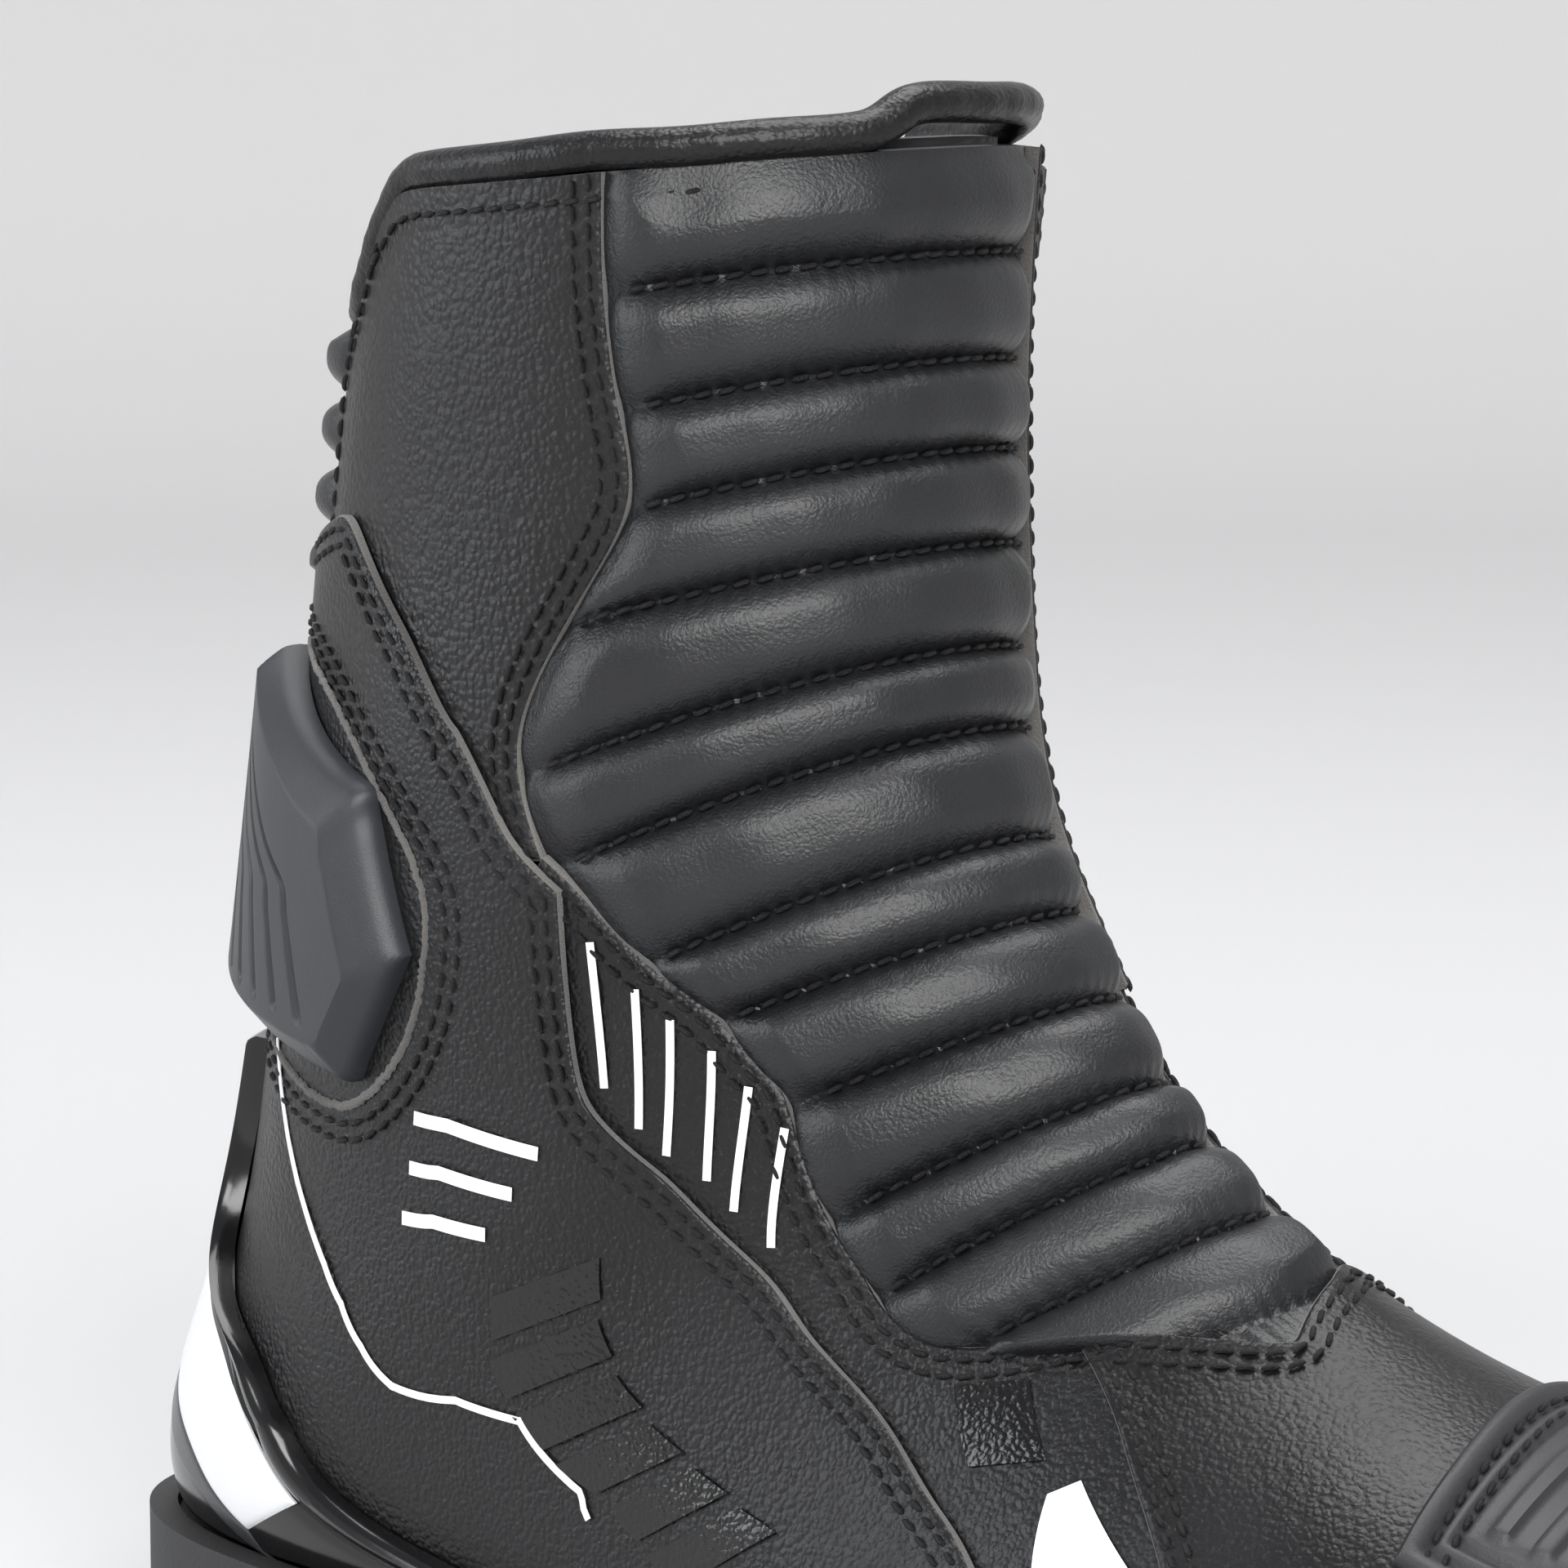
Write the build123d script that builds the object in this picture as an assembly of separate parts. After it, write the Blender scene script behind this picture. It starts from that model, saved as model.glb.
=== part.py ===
from build123d import *
import os
import numpy as np

# A short right-foot riding boot. The toe points to +X, the medial (inner) side to +Y and the
# collar to +Z. The origin is on the ground, under the middle of the boot's box. Millimetres.

# ---------- driving sizes ----------
boot_length = 300.0          # heel to toe, over the upper
collar_height = 233.0        # ground to the collar's front edge
ball_width = 100.0           # widest place of the upper, over the ball of the foot

leather = 1.4                # one layer of upper leather
overlay = 1.5                # quarter leather, sewn over the first layer
glue_gap = 0.35              # thread and glue between two layers
quilt_puff = 2.6             # how far the padded channels stand out of the first layer
foam = 3.6                   # padding between the upper and its lining
lining = 1.2
cup_wall = 3.0               # moulded heel cup
band_wall = 0.5              # reflective band on the heel cup
protector_pad_wall = 2.0
protector_wall = 4.2         # moulded ankle protector
counter_wall = 2.0           # heel counter and toe puff, between upper and lining
shift_pad_wall = 2.2
collar_radius = 2.7          # rolled binding round the collar
rim_dip = 0.62               # stations that the collar dips behind

sole_wall = 4.0              # side wall of the cup sole
sole_clearance = 1.3         # between the upper and the sole's side wall
heel_wall_height = 23.5
arch_wall_height = 19.0
toe_wall_height = 23.0
heel_length = 78.0           # heel's back to the heel's front face
arch_lift = 5.0              # how far the arch clears the ground
toe_spring = 9.0
groove_depth = 3.0
groove_width = 4.0
forefoot_grooves = 11
heel_grooves = 4
board = 2.2                  # insole board
footbed = 4.0
shank_length = 78.0
shank_width = 14.0
shank_wall = 1.2
heel_cushion_height = 7.0

zip_top = 0.62               # stations of the zip's two ends, see SECTIONS
zip_bottom = 4.85
zip_rest = 8.0               # the slider stops this far above the zip's bottom stop
tape_width = 10.5            # one half of the zip's tape
tape_wall = 0.8
tooth_pitch = 3.0
tooth_height = 2.4
tooth_reach = 3.3            # from the zip's middle to the teeth's outer edge
tooth_cross = 0.9            # how far a tooth reaches over the middle
slider_length = 14.0
slider_width = 12.4
slider_wall = 1.4
slide_clearance = 0.4
pull_length = 30.0
pull_width = 9.0
pull_wall = 2.2
pin_radius = 1.0
pin_clearance = 0.35
eye_wall = 1.1

flap_wall = 2.0
tape_pad = 1.0               # hook tape and loop tape

# ---------- the last: cross sections from collar to toe ----------
# A section runs from a front point to a back point. It is a superellipse: half widths on the
# lateral and medial side, the middle's offset, where it is widest (0 front, 1 back), and the
# exponents of its front and back half. The collar is station 0, the toe's tip is the last.
STANDARD = (300.0, 233.0, 100.0)
SECTIONS = np.array([
    # front x, z  back x, z  lateral medial middle widest front back
    [139, 233, 43, 224, 42, 41, 0, 0.50, 2.2, 2.3],
    [137, 207, 37, 192, 42, 41, 0, 0.50, 2.2, 2.3],
    [138, 183, 32, 158, 42, 40, 0, 0.50, 2.2, 2.3],
    [140, 161, 27, 124, 43, 39, 0, 0.50, 2.2, 2.3],
    [147, 139, 20, 90, 43, 38, 0, 0.50, 2.1, 2.3],
    [160, 119, 9, 54, 43, 38, 0, 0.52, 2.0, 2.3],
    [175, 102, 5, 22, 43, 38, 0, 0.55, 1.9, 2.6],
    [192, 89, 55, 13, 43, 38, 0, 0.58, 1.8, 3.0],
    [210, 79, 112, 12, 45, 41, 0, 0.60, 1.8, 3.4],
    [231, 71, 170, 10, 49, 45, 0, 0.62, 1.9, 3.6],
    [252, 63, 218, 8, 50, 46, 3, 0.62, 2.1, 3.8],
    [273, 54, 258, 9, 42, 40, 8, 0.60, 2.3, 3.6],
    [290, 42, 286, 14, 28, 26, 12, 0.55, 2.4, 3.0],
    [299, 29, 299, 24, 4, 4, 13, 0.50, 2.2, 2.2],
], float)
LAST_STATION = len(SECTIONS) - 1
CENTRE_X = 0.5 * boot_length
CENTRE_Y = -0.6
length_scale = boot_length / STANDARD[0]
height_scale = collar_height / STANDARD[1]
width_scale = ball_width / STANDARD[2]
SECTIONS[:, [0, 2]] *= length_scale
SECTIONS[:, [1, 3]] *= height_scale
SECTIONS[:, [4, 5, 6]] *= width_scale

# ---------- layers, as distances from the last's surface ----------
skin_in = -0.5 * leather
skin_out = 0.5 * leather
quilt_out = skin_out + quilt_puff
over_in = skin_out + 3 * glue_gap
over_out = over_in + overlay
foam_out = skin_in - glue_gap
foam_in = foam_out - foam
counter_in = foam_out - counter_wall
lining_out = foam_in - 2 * glue_gap
lining_in = lining_out - lining
cup_in = over_out + 4 * glue_gap
cup_out = cup_in + cup_wall
pad_in = over_out + glue_gap
pad_out = pad_in + protector_pad_wall
shell_in = pad_out + glue_gap
shell_out = shell_in + protector_wall


# ---------- curves and surfaces ----------
def bends(values):
    """Second derivatives of a natural cubic spline through evenly spaced values."""
    count = len(values)
    system = np.eye(count)
    right = np.zeros(values.shape)
    for i in range(1, count - 1):
        system[i, i - 1:i + 2] = [1, 4, 1]
        right[i] = 6 * (values[i + 1] - 2 * values[i] + values[i - 1])
    return np.linalg.solve(system, right)


def spline(values, at):
    """Natural cubic spline through rows of values, at positions counted in rows."""
    values = np.asarray(values, float)
    second = bends(values)
    i = np.clip(np.floor(at).astype(int), 0, len(values) - 2)
    t = (at - i)[..., None]
    u = 1 - t
    return (u * values[i] + t * values[i + 1]
            + ((u ** 3 - u) * second[i] + (t ** 3 - t) * second[i + 1]) / 6)


def last_point(station, angle):
    """A point of the last. Angle 0 is the front or top, 90 lateral, -90 medial, 180 behind."""
    station, angle = np.broadcast_arrays(np.asarray(station, float), np.radians(angle))
    row = np.moveaxis(spline(SECTIONS, np.clip(station, 0, LAST_STATION)), -1, 0)
    front_x, front_z, back_x, back_z, lateral, medial, middle, widest, n_front, n_back = row
    cosine, sine = np.cos(angle), np.sin(angle)
    power = 2 / np.where(cosine >= 0, n_front, n_back)
    along = np.sign(cosine) * np.abs(cosine) ** power
    across = np.sign(sine) * np.abs(sine) ** power
    depth = np.where(cosine >= 0, widest * (1 - along), widest - (1 - widest) * along)
    x = front_x + (back_x - front_x) * depth
    z = front_z + (back_z - front_z) * depth
    y = middle - np.where(across >= 0, lateral, medial) * across
    return np.stack([x - CENTRE_X, y - CENTRE_Y, z], -1)


def outward(station, angle):
    """The last's outward unit normal."""
    step_s, step_a = 0.02, 1.0
    low = np.clip(np.asarray(station, float) - step_s, 0, LAST_STATION)
    high = np.clip(np.asarray(station, float) + step_s, 0, LAST_STATION)
    along = last_point(high, angle) - last_point(low, angle)
    around = last_point(station, angle + step_a) - last_point(station, angle - step_a)
    normal = np.cross(around, along)
    return normal / np.linalg.norm(normal, axis=-1, keepdims=True)


def surface(station, angle, offset):
    return last_point(station, angle) + outward(station, angle) * np.asarray(offset)[..., None]


def resample(points, count):
    """Even steps along a smooth curve through (station, angle) points."""
    points = np.asarray(points, float)
    fine = spline(points, np.linspace(0, len(points) - 1, 40 * len(points)))
    steps = np.linalg.norm(np.diff(fine, axis=0) * [30, 1], axis=1)
    travelled = np.concatenate([[0], np.cumsum(steps)])
    even = np.linspace(0, travelled[-1], count)
    return np.stack([np.interp(even, travelled, fine[:, k]) for k in range(2)], -1)


def patch_grid(top, bottom, left, right, columns, rows):
    """Fill four edges in (station, angle). top and bottom run left to right, the rest down."""
    top, bottom = resample(top, columns), resample(bottom, columns)
    left, right = resample(left, rows), resample(right, rows)
    u = np.linspace(0, 1, columns)[None, :, None]
    v = np.linspace(0, 1, rows)[:, None, None]
    ruled = (1 - v) * top[None] + v * bottom[None] + (1 - u) * left[:, None] + u * right[:, None]
    corners = ((1 - u) * (1 - v) * top[0] + u * (1 - v) * top[-1]
               + (1 - u) * v * bottom[0] + u * v * bottom[-1])
    return ruled - corners


def skin(grid):
    """A smooth face through rows of points."""
    rows = [Wire([Spline(*[Vector(*point) for point in row])]) for row in grid]
    return Shell.make_loft(rows).faces()[0]


def solid_between(inner, outer):
    """A solid between two grids of points."""
    skins = [skin(inner), skin(outer)]
    sides = []
    for edge in skins[0].edges():
        partner = min(skins[1].edges(), key=lambda other: ((other @ 0.5) - (edge @ 0.5)).length)
        sides.append(Face.make_surface_from_curves(edge, partner))
    return Solid(Shell(skins + sides))


def panel(top, bottom, left, right, inner, outer, columns=8, rows=8):
    """A sheet of constant or varying thickness over a four-sided outline on the last."""
    grid = patch_grid(top, bottom, left, right, columns, rows)
    share = np.linspace(0, 1, columns)[None, :] * np.ones((rows, 1))
    inner = inner(share) if callable(inner) else np.full(share.shape, inner)
    outer = outer(share) if callable(outer) else np.full(share.shape, outer)
    station, angle = grid[..., 0], grid[..., 1]
    return solid_between(surface(station, angle, inner), surface(station, angle, outer))


def band(first, last, start, end, inner, outer, columns=8, rows=7):
    """A panel between two stations and two angles."""
    return panel([(first, start), (first, end)], [(last, start), (last, end)],
                 [(first, start), (last, start)], [(first, end), (last, end)],
                 inner, outer, columns, rows)


def mirrored(points):
    return [(station, -angle) for station, angle in points]


def rim(angle):
    """How many stations the collar's edge dips, at the back of the leg."""
    turned = np.abs((np.asarray(angle, float) + 180) % 360 - 180)
    share = np.clip((turned - 110) / 32, 0, 1)
    return rim_dip * share * share * (3 - 2 * share)


def rim_line(first, last, count=13):
    """The upper edge of the pieces between two angles, just under the collar's binding."""
    return [(TOP + float(rim(angle)), angle) for angle in np.linspace(first, last, count)]


def shifted(points, turn):
    return [(station, angle + turn) for station, angle in points]


# ---------- outlines of the upper, as (station, angle) ----------
TOP = 0.13                   # where the panels start, just under the collar's binding
FEATHER = 138.0              # where the upper turns in under the foot

shaft_front = [(TOP, 70), (0.6, 68), (0.95, 66), (1.25, 64), (1.7, 62), (2.1, 68), (2.5, 76),
               (2.85, 80), (3.2, 79), (3.5, 77)]
shaft_rear = [(TOP + 0.19, 122), (0.52, 127), (0.83, 136), (1.1, 138), (1.5, 137), (1.95, 136)]
shaft_bottom = [(3.5, 77), (3.25, 88), (2.9, 95), (2.6, 104), (2.1, 114), (2.0, 124), (1.95, 136)]
stripe_front = [(3.62, 74.5), (3.85, 69), (4.25, 62), (5.0, 50), (6.1, 48), (7.0, 48), (7.3, 39)]
vamp_seam = [(7.3, 39), (7.6, 40), (8.0, 44), (8.35, 49), (8.7, 55), (9.1, 64), (9.6, 80),
             (10.0, 105), (10.1, FEATHER)]
quarter_top = [(1.6, 178.5), (1.6, 150), (1.6, 139), (1.55, 124), (1.63, 115), (2.0, 104),
               (2.4, 95), (3.05, 85), (3.73, 73)]
quarter_front = [(3.73, 73), (4.45, 73), (5.0, 69), (5.6, 60), (6.15, 56), (6.65, 57), (7.3, 60),
                 (7.9, 66), (8.35, 72), (8.9, 84), (9.3, 100), (9.45, FEATHER)]
heel_feather = [(5.84, 178.5), (6.05, 160), (6.28, 146), (6.85, FEATHER)]
vamp_top = [(7.3, 38), (7.6, 31), (8.0, 20), (7.78, 8), (7.6, -7), (7.45, -22), (7.3, -38)]


# ---------- upper ----------
def front_quilt(inner, outer, inset=0.0):
    medial = -42 + inset
    lateral = [(TOP + 0.02, 69), (0.6, 67), (0.95, 65), (1.25, 63), (1.7, 61), (2.1, 67), (2.5, 74.5),
               (2.85, 78.5), (3.3, 77), (3.62, 73), (3.85, 68), (4.25, 61), (5.0, 49), (6.1, 47),
               (7.0, 46), (7.25, 38)]
    lateral = shifted(lateral, -inset)
    side = [(TOP + 0.02, medial), (3.5, medial), (5.0, medial - 6), (6.1, medial - 5),
            (7.0, medial - 4), (7.25, medial + 4)]
    bottom = [(7.25, 38 - inset), (7.52, 31 - inset), (7.9, 20), (7.7, 8), (7.52, -7), (7.38, -22),
              (7.25, medial + 4)]
    if inset:
        bottom = [(station - 0.3, angle) for station, angle in bottom]
        lateral[-1] = bottom[0]
        side[-1] = bottom[-1]
    top = [lateral[0], (lateral[0][0], 0), side[0]]
    return panel(top, bottom, lateral, side, inner, outer, 9, 14)


def lateral_shaft_panel():
    top = [shaft_front[0], (TOP, 90), (TOP, 108), (TOP + 0.05, 115), shaft_rear[0]]
    bottom = shaft_bottom
    return panel(top, bottom, shaft_front, shaft_rear, skin_in, skin_out, 8, 10)


def rear_quilt(inner, outer, inset=0.0):
    lateral = shifted([(0.62, 130), (0.83, 136), (1.1, 138), (1.5, 137)], 1 + inset)
    medial = [(station, 360 - angle) for station, angle in lateral]
    crest = TOP + rim_dip + 0.02 * inset
    top = [lateral[0], (crest, 145), (crest, 180), (crest, 215), medial[0]]
    return panel(top, [lateral[-1], (1.5, 180), medial[-1]],
                 lateral, medial, inner, outer, 9, 7)


def lateral_quarter():
    rear = [(1.6, 178.5), (3, 178.5), (4.5, 178.5), heel_feather[0]]
    bottom = heel_feather + [(8.2, FEATHER), (9.45, FEATHER)]
    return panel(quarter_top, bottom, rear, quarter_front, over_in, over_out, 13, 14)


def medial_heel_quarter():
    top = mirrored([(1.6, 178.5), (1.6, 150), (1.6, 139), (1.55, 124), (1.62, 110), (1.7, 100)])
    front = [(1.7, -100), (3.0, -99.5), (4.9, -99.5), (5.6, -103), (6.3, -116), (6.85, -FEATHER)]
    rear = mirrored([(1.6, 178.5), (3, 178.5), (4.5, 178.5), heel_feather[0]])
    return panel(top, mirrored(heel_feather), rear, front, over_in, over_out, 11, 14)


def medial_arch_quarter():
    rear = [(5.08, -97), (5.66, -101.5), (6.46, -114), (7.12, -FEATHER)]
    front = [(5.3, -62), (6.0, -57), (6.65, -57), (7.3, -60), (8.35, -72), (8.9, -84),
             (9.3, -100), (9.4, -FEATHER)]
    return panel([(5.08, -97), (5.08, -84), (5.3, -62)], [(7.12, -FEATHER), (9.4, -FEATHER)],
                 rear, front, over_in, over_out, 9, 13)


def lateral_forefoot_panel():
    under = [(3.62, 74.5), (4.0, 82), (4.6, 82), (5.1, 78), (5.7, 69), (6.2, 65), (6.7, 66),
             (7.3, 70), (8.0, 80), (8.6, 100), (8.9, FEATHER)]
    return panel(stripe_front, [(8.9, FEATHER), (10.1, FEATHER)], under,
                 shifted(vamp_seam, 0.9), skin_in, skin_out, 8, 14)


def medial_forefoot_panel():
    edge = [(5.05, -49.6), (5.6, -48.5), (6.1, -48), (7.0, -48), (7.3, -39)]
    under = [(5.05, -49.6), (5.3, -64), (6.2, -66), (7.3, -70), (8.0, -80), (8.6, -100),
             (8.9, -FEATHER)]
    return panel(edge, [(8.9, -FEATHER), (10.1, -FEATHER)], under,
                 mirrored(shifted(vamp_seam, 0.9)), skin_in, skin_out, 9, 14)


def medial_front_panel():
    edge = [(TOP, -42.6), (3.5, -42.6), (4.2, -45.5), (4.95, -48.6)]
    return panel([(TOP, -42.6), (TOP, -82.5)], [(4.95, -48.6), (4.95, -82.5)],
                 edge, [(TOP, -82.5), (4.95, -82.5)], skin_in, skin_out, 6, 10)


def medial_rear_panel():
    rear = mirrored(shaft_rear)
    top = [(TOP, -97.5), (TOP, -108), (TOP + 0.05, -115), rear[0]]
    return panel(top, [(1.95, -97.5), (1.95, -136)],
                 [(TOP, -97.5), (1.95, -97.5)], rear, skin_in, skin_out, 6, 7)


def vamp():
    seam = shifted(vamp_seam, -1.6)
    seam[-1] = (10.05, FEATHER)
    other = mirrored(seam)
    top = [seam[0]] + vamp_top[1:-1] + [other[0]]
    return panel(top, [(10.05, FEATHER), (10.05, 0), (10.05, -FEATHER)], seam, other,
                 skin_in, skin_out, 13, 9)


def toe_cap():
    return band(10.13, LAST_STATION, FEATHER, -FEATHER, skin_in, skin_out, 13, 9)


def shift_pad():
    rear = [(9.75, 44), (9.45, 24), (9.25, 10), (9.15, -2), (9.2, -16), (9.45, -30)]
    front = [(11.75, 40), (11.95, 12), (11.9, -14), (11.6, -30)]
    return panel(rear, front, [(9.75, 44), (10.8, 47), (11.75, 40)],
                 [(9.45, -30), (10.6, -36), (11.6, -30)], over_in, over_in + shift_pad_wall)


# ---------- reinforcement and trim ----------
def heel_cup():
    edge = [(3.9, 141), (4.55, 143), (4.85, 136), (5.15, 122), (5.45, 114), (5.8, 108.5),
            (6.2, 108), (6.55, 114), (6.8, 121)]
    other = [(station, 360 - angle) for station, angle in edge]
    under = [(6.8, 121), (6.3, 150), (6.05, 180), (6.3, 210), (6.8, 239)]
    cup = panel([edge[0], (3.82, 180), other[0]], under, edge, other, cup_in, cup_out, 11, 10)
    ground = Pos(0, 0, heel_wall_height + sole_clearance) * Box(
        2 * boot_length, 2 * ball_width, 4 * heel_wall_height,
        align=(Align.CENTER, Align.CENTER, Align.MAX))
    return cup - ground


def heel_band():
    outer_edge = [(6.25, 113.5), (5.9, 113), (5.45, 121), (4.95, 139), (4.62, 156), (4.5, 180),
                  (4.62, 204), (4.95, 221), (5.45, 239), (5.9, 247), (6.25, 246.5)]
    inner_edge = [(6.25, 127), (6.0, 125), (5.75, 131), (5.35, 146), (5.05, 160), (4.95, 180),
                  (5.05, 200), (5.35, 214), (5.75, 229), (6.0, 235), (6.25, 233)]
    return panel(outer_edge, inner_edge, [outer_edge[0], inner_edge[0]],
                 [outer_edge[-1], inner_edge[-1]],
                 cup_out + glue_gap, cup_out + glue_gap + band_wall, 15, 4)


def protector(inner, outer, inset=0.0):
    front = [(2.08 + inset, 141), (2.65 + inset, 110 + 12 * inset), (3.35, 95 + 20 * inset),
             (3.85 - inset, 94 + 20 * inset)]
    bottom = [(3.85 - inset, 94 + 20 * inset), (4.3 - inset, 103), (4.0 - inset, 119),
              (3.6 - inset, 139), (3.5 - inset, 149 - 20 * inset)]
    rear = [(2.2 + inset, 151 - 20 * inset), (2.8, 153 - 20 * inset), (3.5 - inset, 149 - 20 * inset)]
    top = [(2.08 + inset, 141), (2.2 + inset, 151 - 20 * inset)]
    return panel(top, [bottom[0], bottom[1], bottom[2], bottom[3], bottom[4]], front, rear,
                 inner, outer, 8, 8)


def heel_counter():
    edge = [(4.6, 112), (5.2, 106), (5.9, 106), (6.5, 116)]
    other = [(station, 360 - angle) for station, angle in edge]
    under = [(6.5, 116), (6.15, 145), (5.88, 180), (6.15, 215), (6.5, 244)]
    return panel([edge[0], (4.45, 180), other[0]], under, edge, other, counter_in, foam_out,
                 11, 8)


def toe_puff():
    return band(10.6, 12.7, 105, -105, counter_in, foam_out, 11, 7)


def ankle_foam(side):
    edge = [(2.6, 100), (4.2, 100)]
    rear = [(2.6, 140), (4.2, 140)]
    flip = (lambda points: points) if side > 0 else mirrored
    return panel(flip([edge[0], rear[0]]), flip([edge[1], rear[1]]), flip(edge), flip(rear),
                 foam_in, foam_out, 6, 6)


def collar_binding():
    """A rolled strip round the collar, open over the zip."""
    angles = np.radians(np.linspace(-81, -81 + 342, 35))
    offset = 0.5 * (skin_out + lining_in)
    path = surface(rim(np.degrees(angles)), np.degrees(angles), np.full(angles.shape, offset))
    path[:, 2] += 1.0
    rings = []
    for i, point in enumerate(path):
        ahead = path[min(i + 1, len(path) - 1)] - path[max(i - 1, 0)]
        plane = Plane(origin=Vector(*point), x_dir=(0, 0, 1), z_dir=Vector(*ahead))
        wide = 0.5 * (skin_out - lining_in) + 0.2
        rings.append(plane * Ellipse(collar_radius, wide))
    return loft(rings)


# ---------- linings ----------
def shaft_lining(first, last):
    return panel(rim_line(first, last), [(3.3, first), (3.3, last)],
                 [(TOP, first), (3.3, first)], [(TOP + rim_dip, last), (3.3, last)],
                 lining_in, lining_out, 12, 8)


def foot_lining(side):
    rear = [(5.65, 179.5), (6.0, 178), (6.28, 160), (6.55, 146), (7.1, FEATHER), (9, FEATHER),
            (12.5, FEATHER)]
    left = [(5.65, 0.4), (12.5, 0.4)]
    top = [(5.65, 0.4), (5.65, 179.5)]
    bottom = [(12.5, 0.4), (12.5, FEATHER)]
    if side < 0:
        rear, left, top, bottom = (mirrored(edge) for edge in (rear, left, top, bottom))
    return panel(top, bottom, left, rear, lining_in, lining_out, 9, 12)


# ---------- sole ----------
def wall_height(x):
    """Top of the sole's side wall at a distance from the heel's back."""
    share = np.clip(np.asarray(x) / boot_length, 0, 1)
    return np.interp(share, [0, 0.2, 0.34, 0.8, 1.0],
                     [heel_wall_height, heel_wall_height - 1, arch_wall_height,
                      arch_wall_height, toe_wall_height])


def sole_outline(offset, height):
    """Half widths of the upper below a height, at places along its length, as a plan face."""
    stations = np.linspace(5.2, LAST_STATION, 320)
    angles = np.linspace(60, 179, 120)
    places = boot_length * np.array([0.02, 0.06, 0.14, 0.26, 0.4, 0.54, 0.68, 0.8, 0.9, 0.965])
    inset = -min(offset, 0.0)
    places = places[(places > inset + 5) & (places < boot_length - inset - 5)]
    sides = []
    for sign in (1, -1):
        grid_s, grid_a = np.meshgrid(stations, sign * angles, indexing="ij")
        points = surface(grid_s, grid_a, np.full(grid_s.shape, max(offset, 0.0)))
        points = points[points[..., 2] < height]
        widths = [np.abs(points[np.abs(points[:, 0] + CENTRE_X - place) < 4][:, 1]).max()
                  for place in places]
        sides.append([(place - CENTRE_X, -sign * (width - inset))
                      for place, width in zip(places, widths)])
    points = surface(np.array([5.7, 12.8]), np.array([180.0, 180.0]), np.array([offset, offset]))
    heel_x = points[0][0]
    toe_x = boot_length - CENTRE_X + offset
    toe_y = SECTIONS[-1][6] - CENTRE_Y
    lateral, medial = sides
    loop = [(heel_x, 0)] + lateral + [(toe_x, toe_y)] + medial[::-1]
    return make_face(Spline(*[Vector(x, y, 0) for x, y in loop], periodic=True))


def profile(lower, upper):
    """A side-view slab between two height functions, wider than the sole."""
    xs = np.linspace(-0.08, 1.08, 30) * boot_length
    low = [Vector(x - CENTRE_X, -ball_width, float(lower(x))) for x in xs]
    high = [Vector(x - CENTRE_X, -ball_width, float(upper(x))) for x in xs]
    face = make_face(Polyline(*low, *high[::-1], close=True))
    return extrude(face, 2 * ball_width, dir=(0, 1, 0))


def last_floor(x):
    """Height of the last's underside."""
    rows = SECTIONS[6:]
    share = np.interp(x, np.concatenate([[rows[0][2] - 20], rows[:, 2]]),
                      np.concatenate([[-0.6], np.arange(len(rows))]))
    low = np.clip(share, 0, len(rows) - 1)
    return float(np.interp(low, np.arange(len(rows)), rows[:, 3]))


def tread_line(x):
    """Underside of the sole: flat heel, lifted arch, flat ball, toe spring."""
    share = x / boot_length
    arch_start = heel_length / boot_length
    lift = arch_lift * float(np.interp(share, [arch_start, arch_start + 0.03, 0.40, 0.45],
                                       [0, 1, 1, 0]))
    spring = toe_spring * float(np.clip((share - 0.82) / 0.18, 0, 1.3)) ** 2
    return lift + spring


def sole_body():
    pocket = sole_outline(over_out + sole_clearance, wall_height(0.0))
    plan = sole_outline(over_out + sole_clearance + sole_wall, wall_height(0.0))
    block = extrude(plan, 2 * heel_wall_height)
    block &= profile(tread_line, wall_height)
    hollow = extrude(pocket, 4 * heel_wall_height)
    hollow &= profile(lambda x: last_floor(x) - 0.5, lambda x: 3 * heel_wall_height)
    return block - hollow


def tread_grooves():
    first = 0.46 * boot_length
    last = 0.93 * boot_length
    xs = list(np.linspace(first, last, forefoot_grooves))
    xs += list(np.linspace(0.05 * boot_length, heel_length - 2 * groove_width, heel_grooves))
    cutters = []
    for x in xs:
        height = tread_line(x) + groove_depth
        cutters.append(Pos(x - CENTRE_X, 0, height) * Box(
            groove_width, 2 * ball_width, 4 * groove_depth,
            align=(Align.CENTER, Align.CENTER, Align.MAX)))
    return cutters


def cushion_place():
    return Pos(0.14 * boot_length - CENTRE_X, 0, groove_depth + 0.6 * heel_cushion_height)


def outsole():
    body = sole_body()
    body -= tread_grooves()
    hole = cushion_place() * Box(0.15 * boot_length + 2 * glue_gap, 0.36 * ball_width + 2 * glue_gap,
                                 heel_cushion_height + 2 * glue_gap)
    return body - hole


def heel_cushion():
    return cushion_place() * Box(0.15 * boot_length, 0.36 * ball_width, heel_cushion_height)


def board_plan(inset):
    return extrude(sole_outline(-inset, wall_height(0.0)), 4 * heel_wall_height)


board_low = shank_wall + 2 * glue_gap
board_inset = 13.0


def insole_board():
    return board_plan(board_inset) & profile(lambda x: last_floor(x) + board_low,
                                             lambda x: last_floor(x) + board_low + board)


def foot_bed():
    low = board_low + board + glue_gap
    return board_plan(board_inset + 3.5) & profile(lambda x: last_floor(x) + low,
                                                 lambda x: last_floor(x) + low + footbed)


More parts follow.
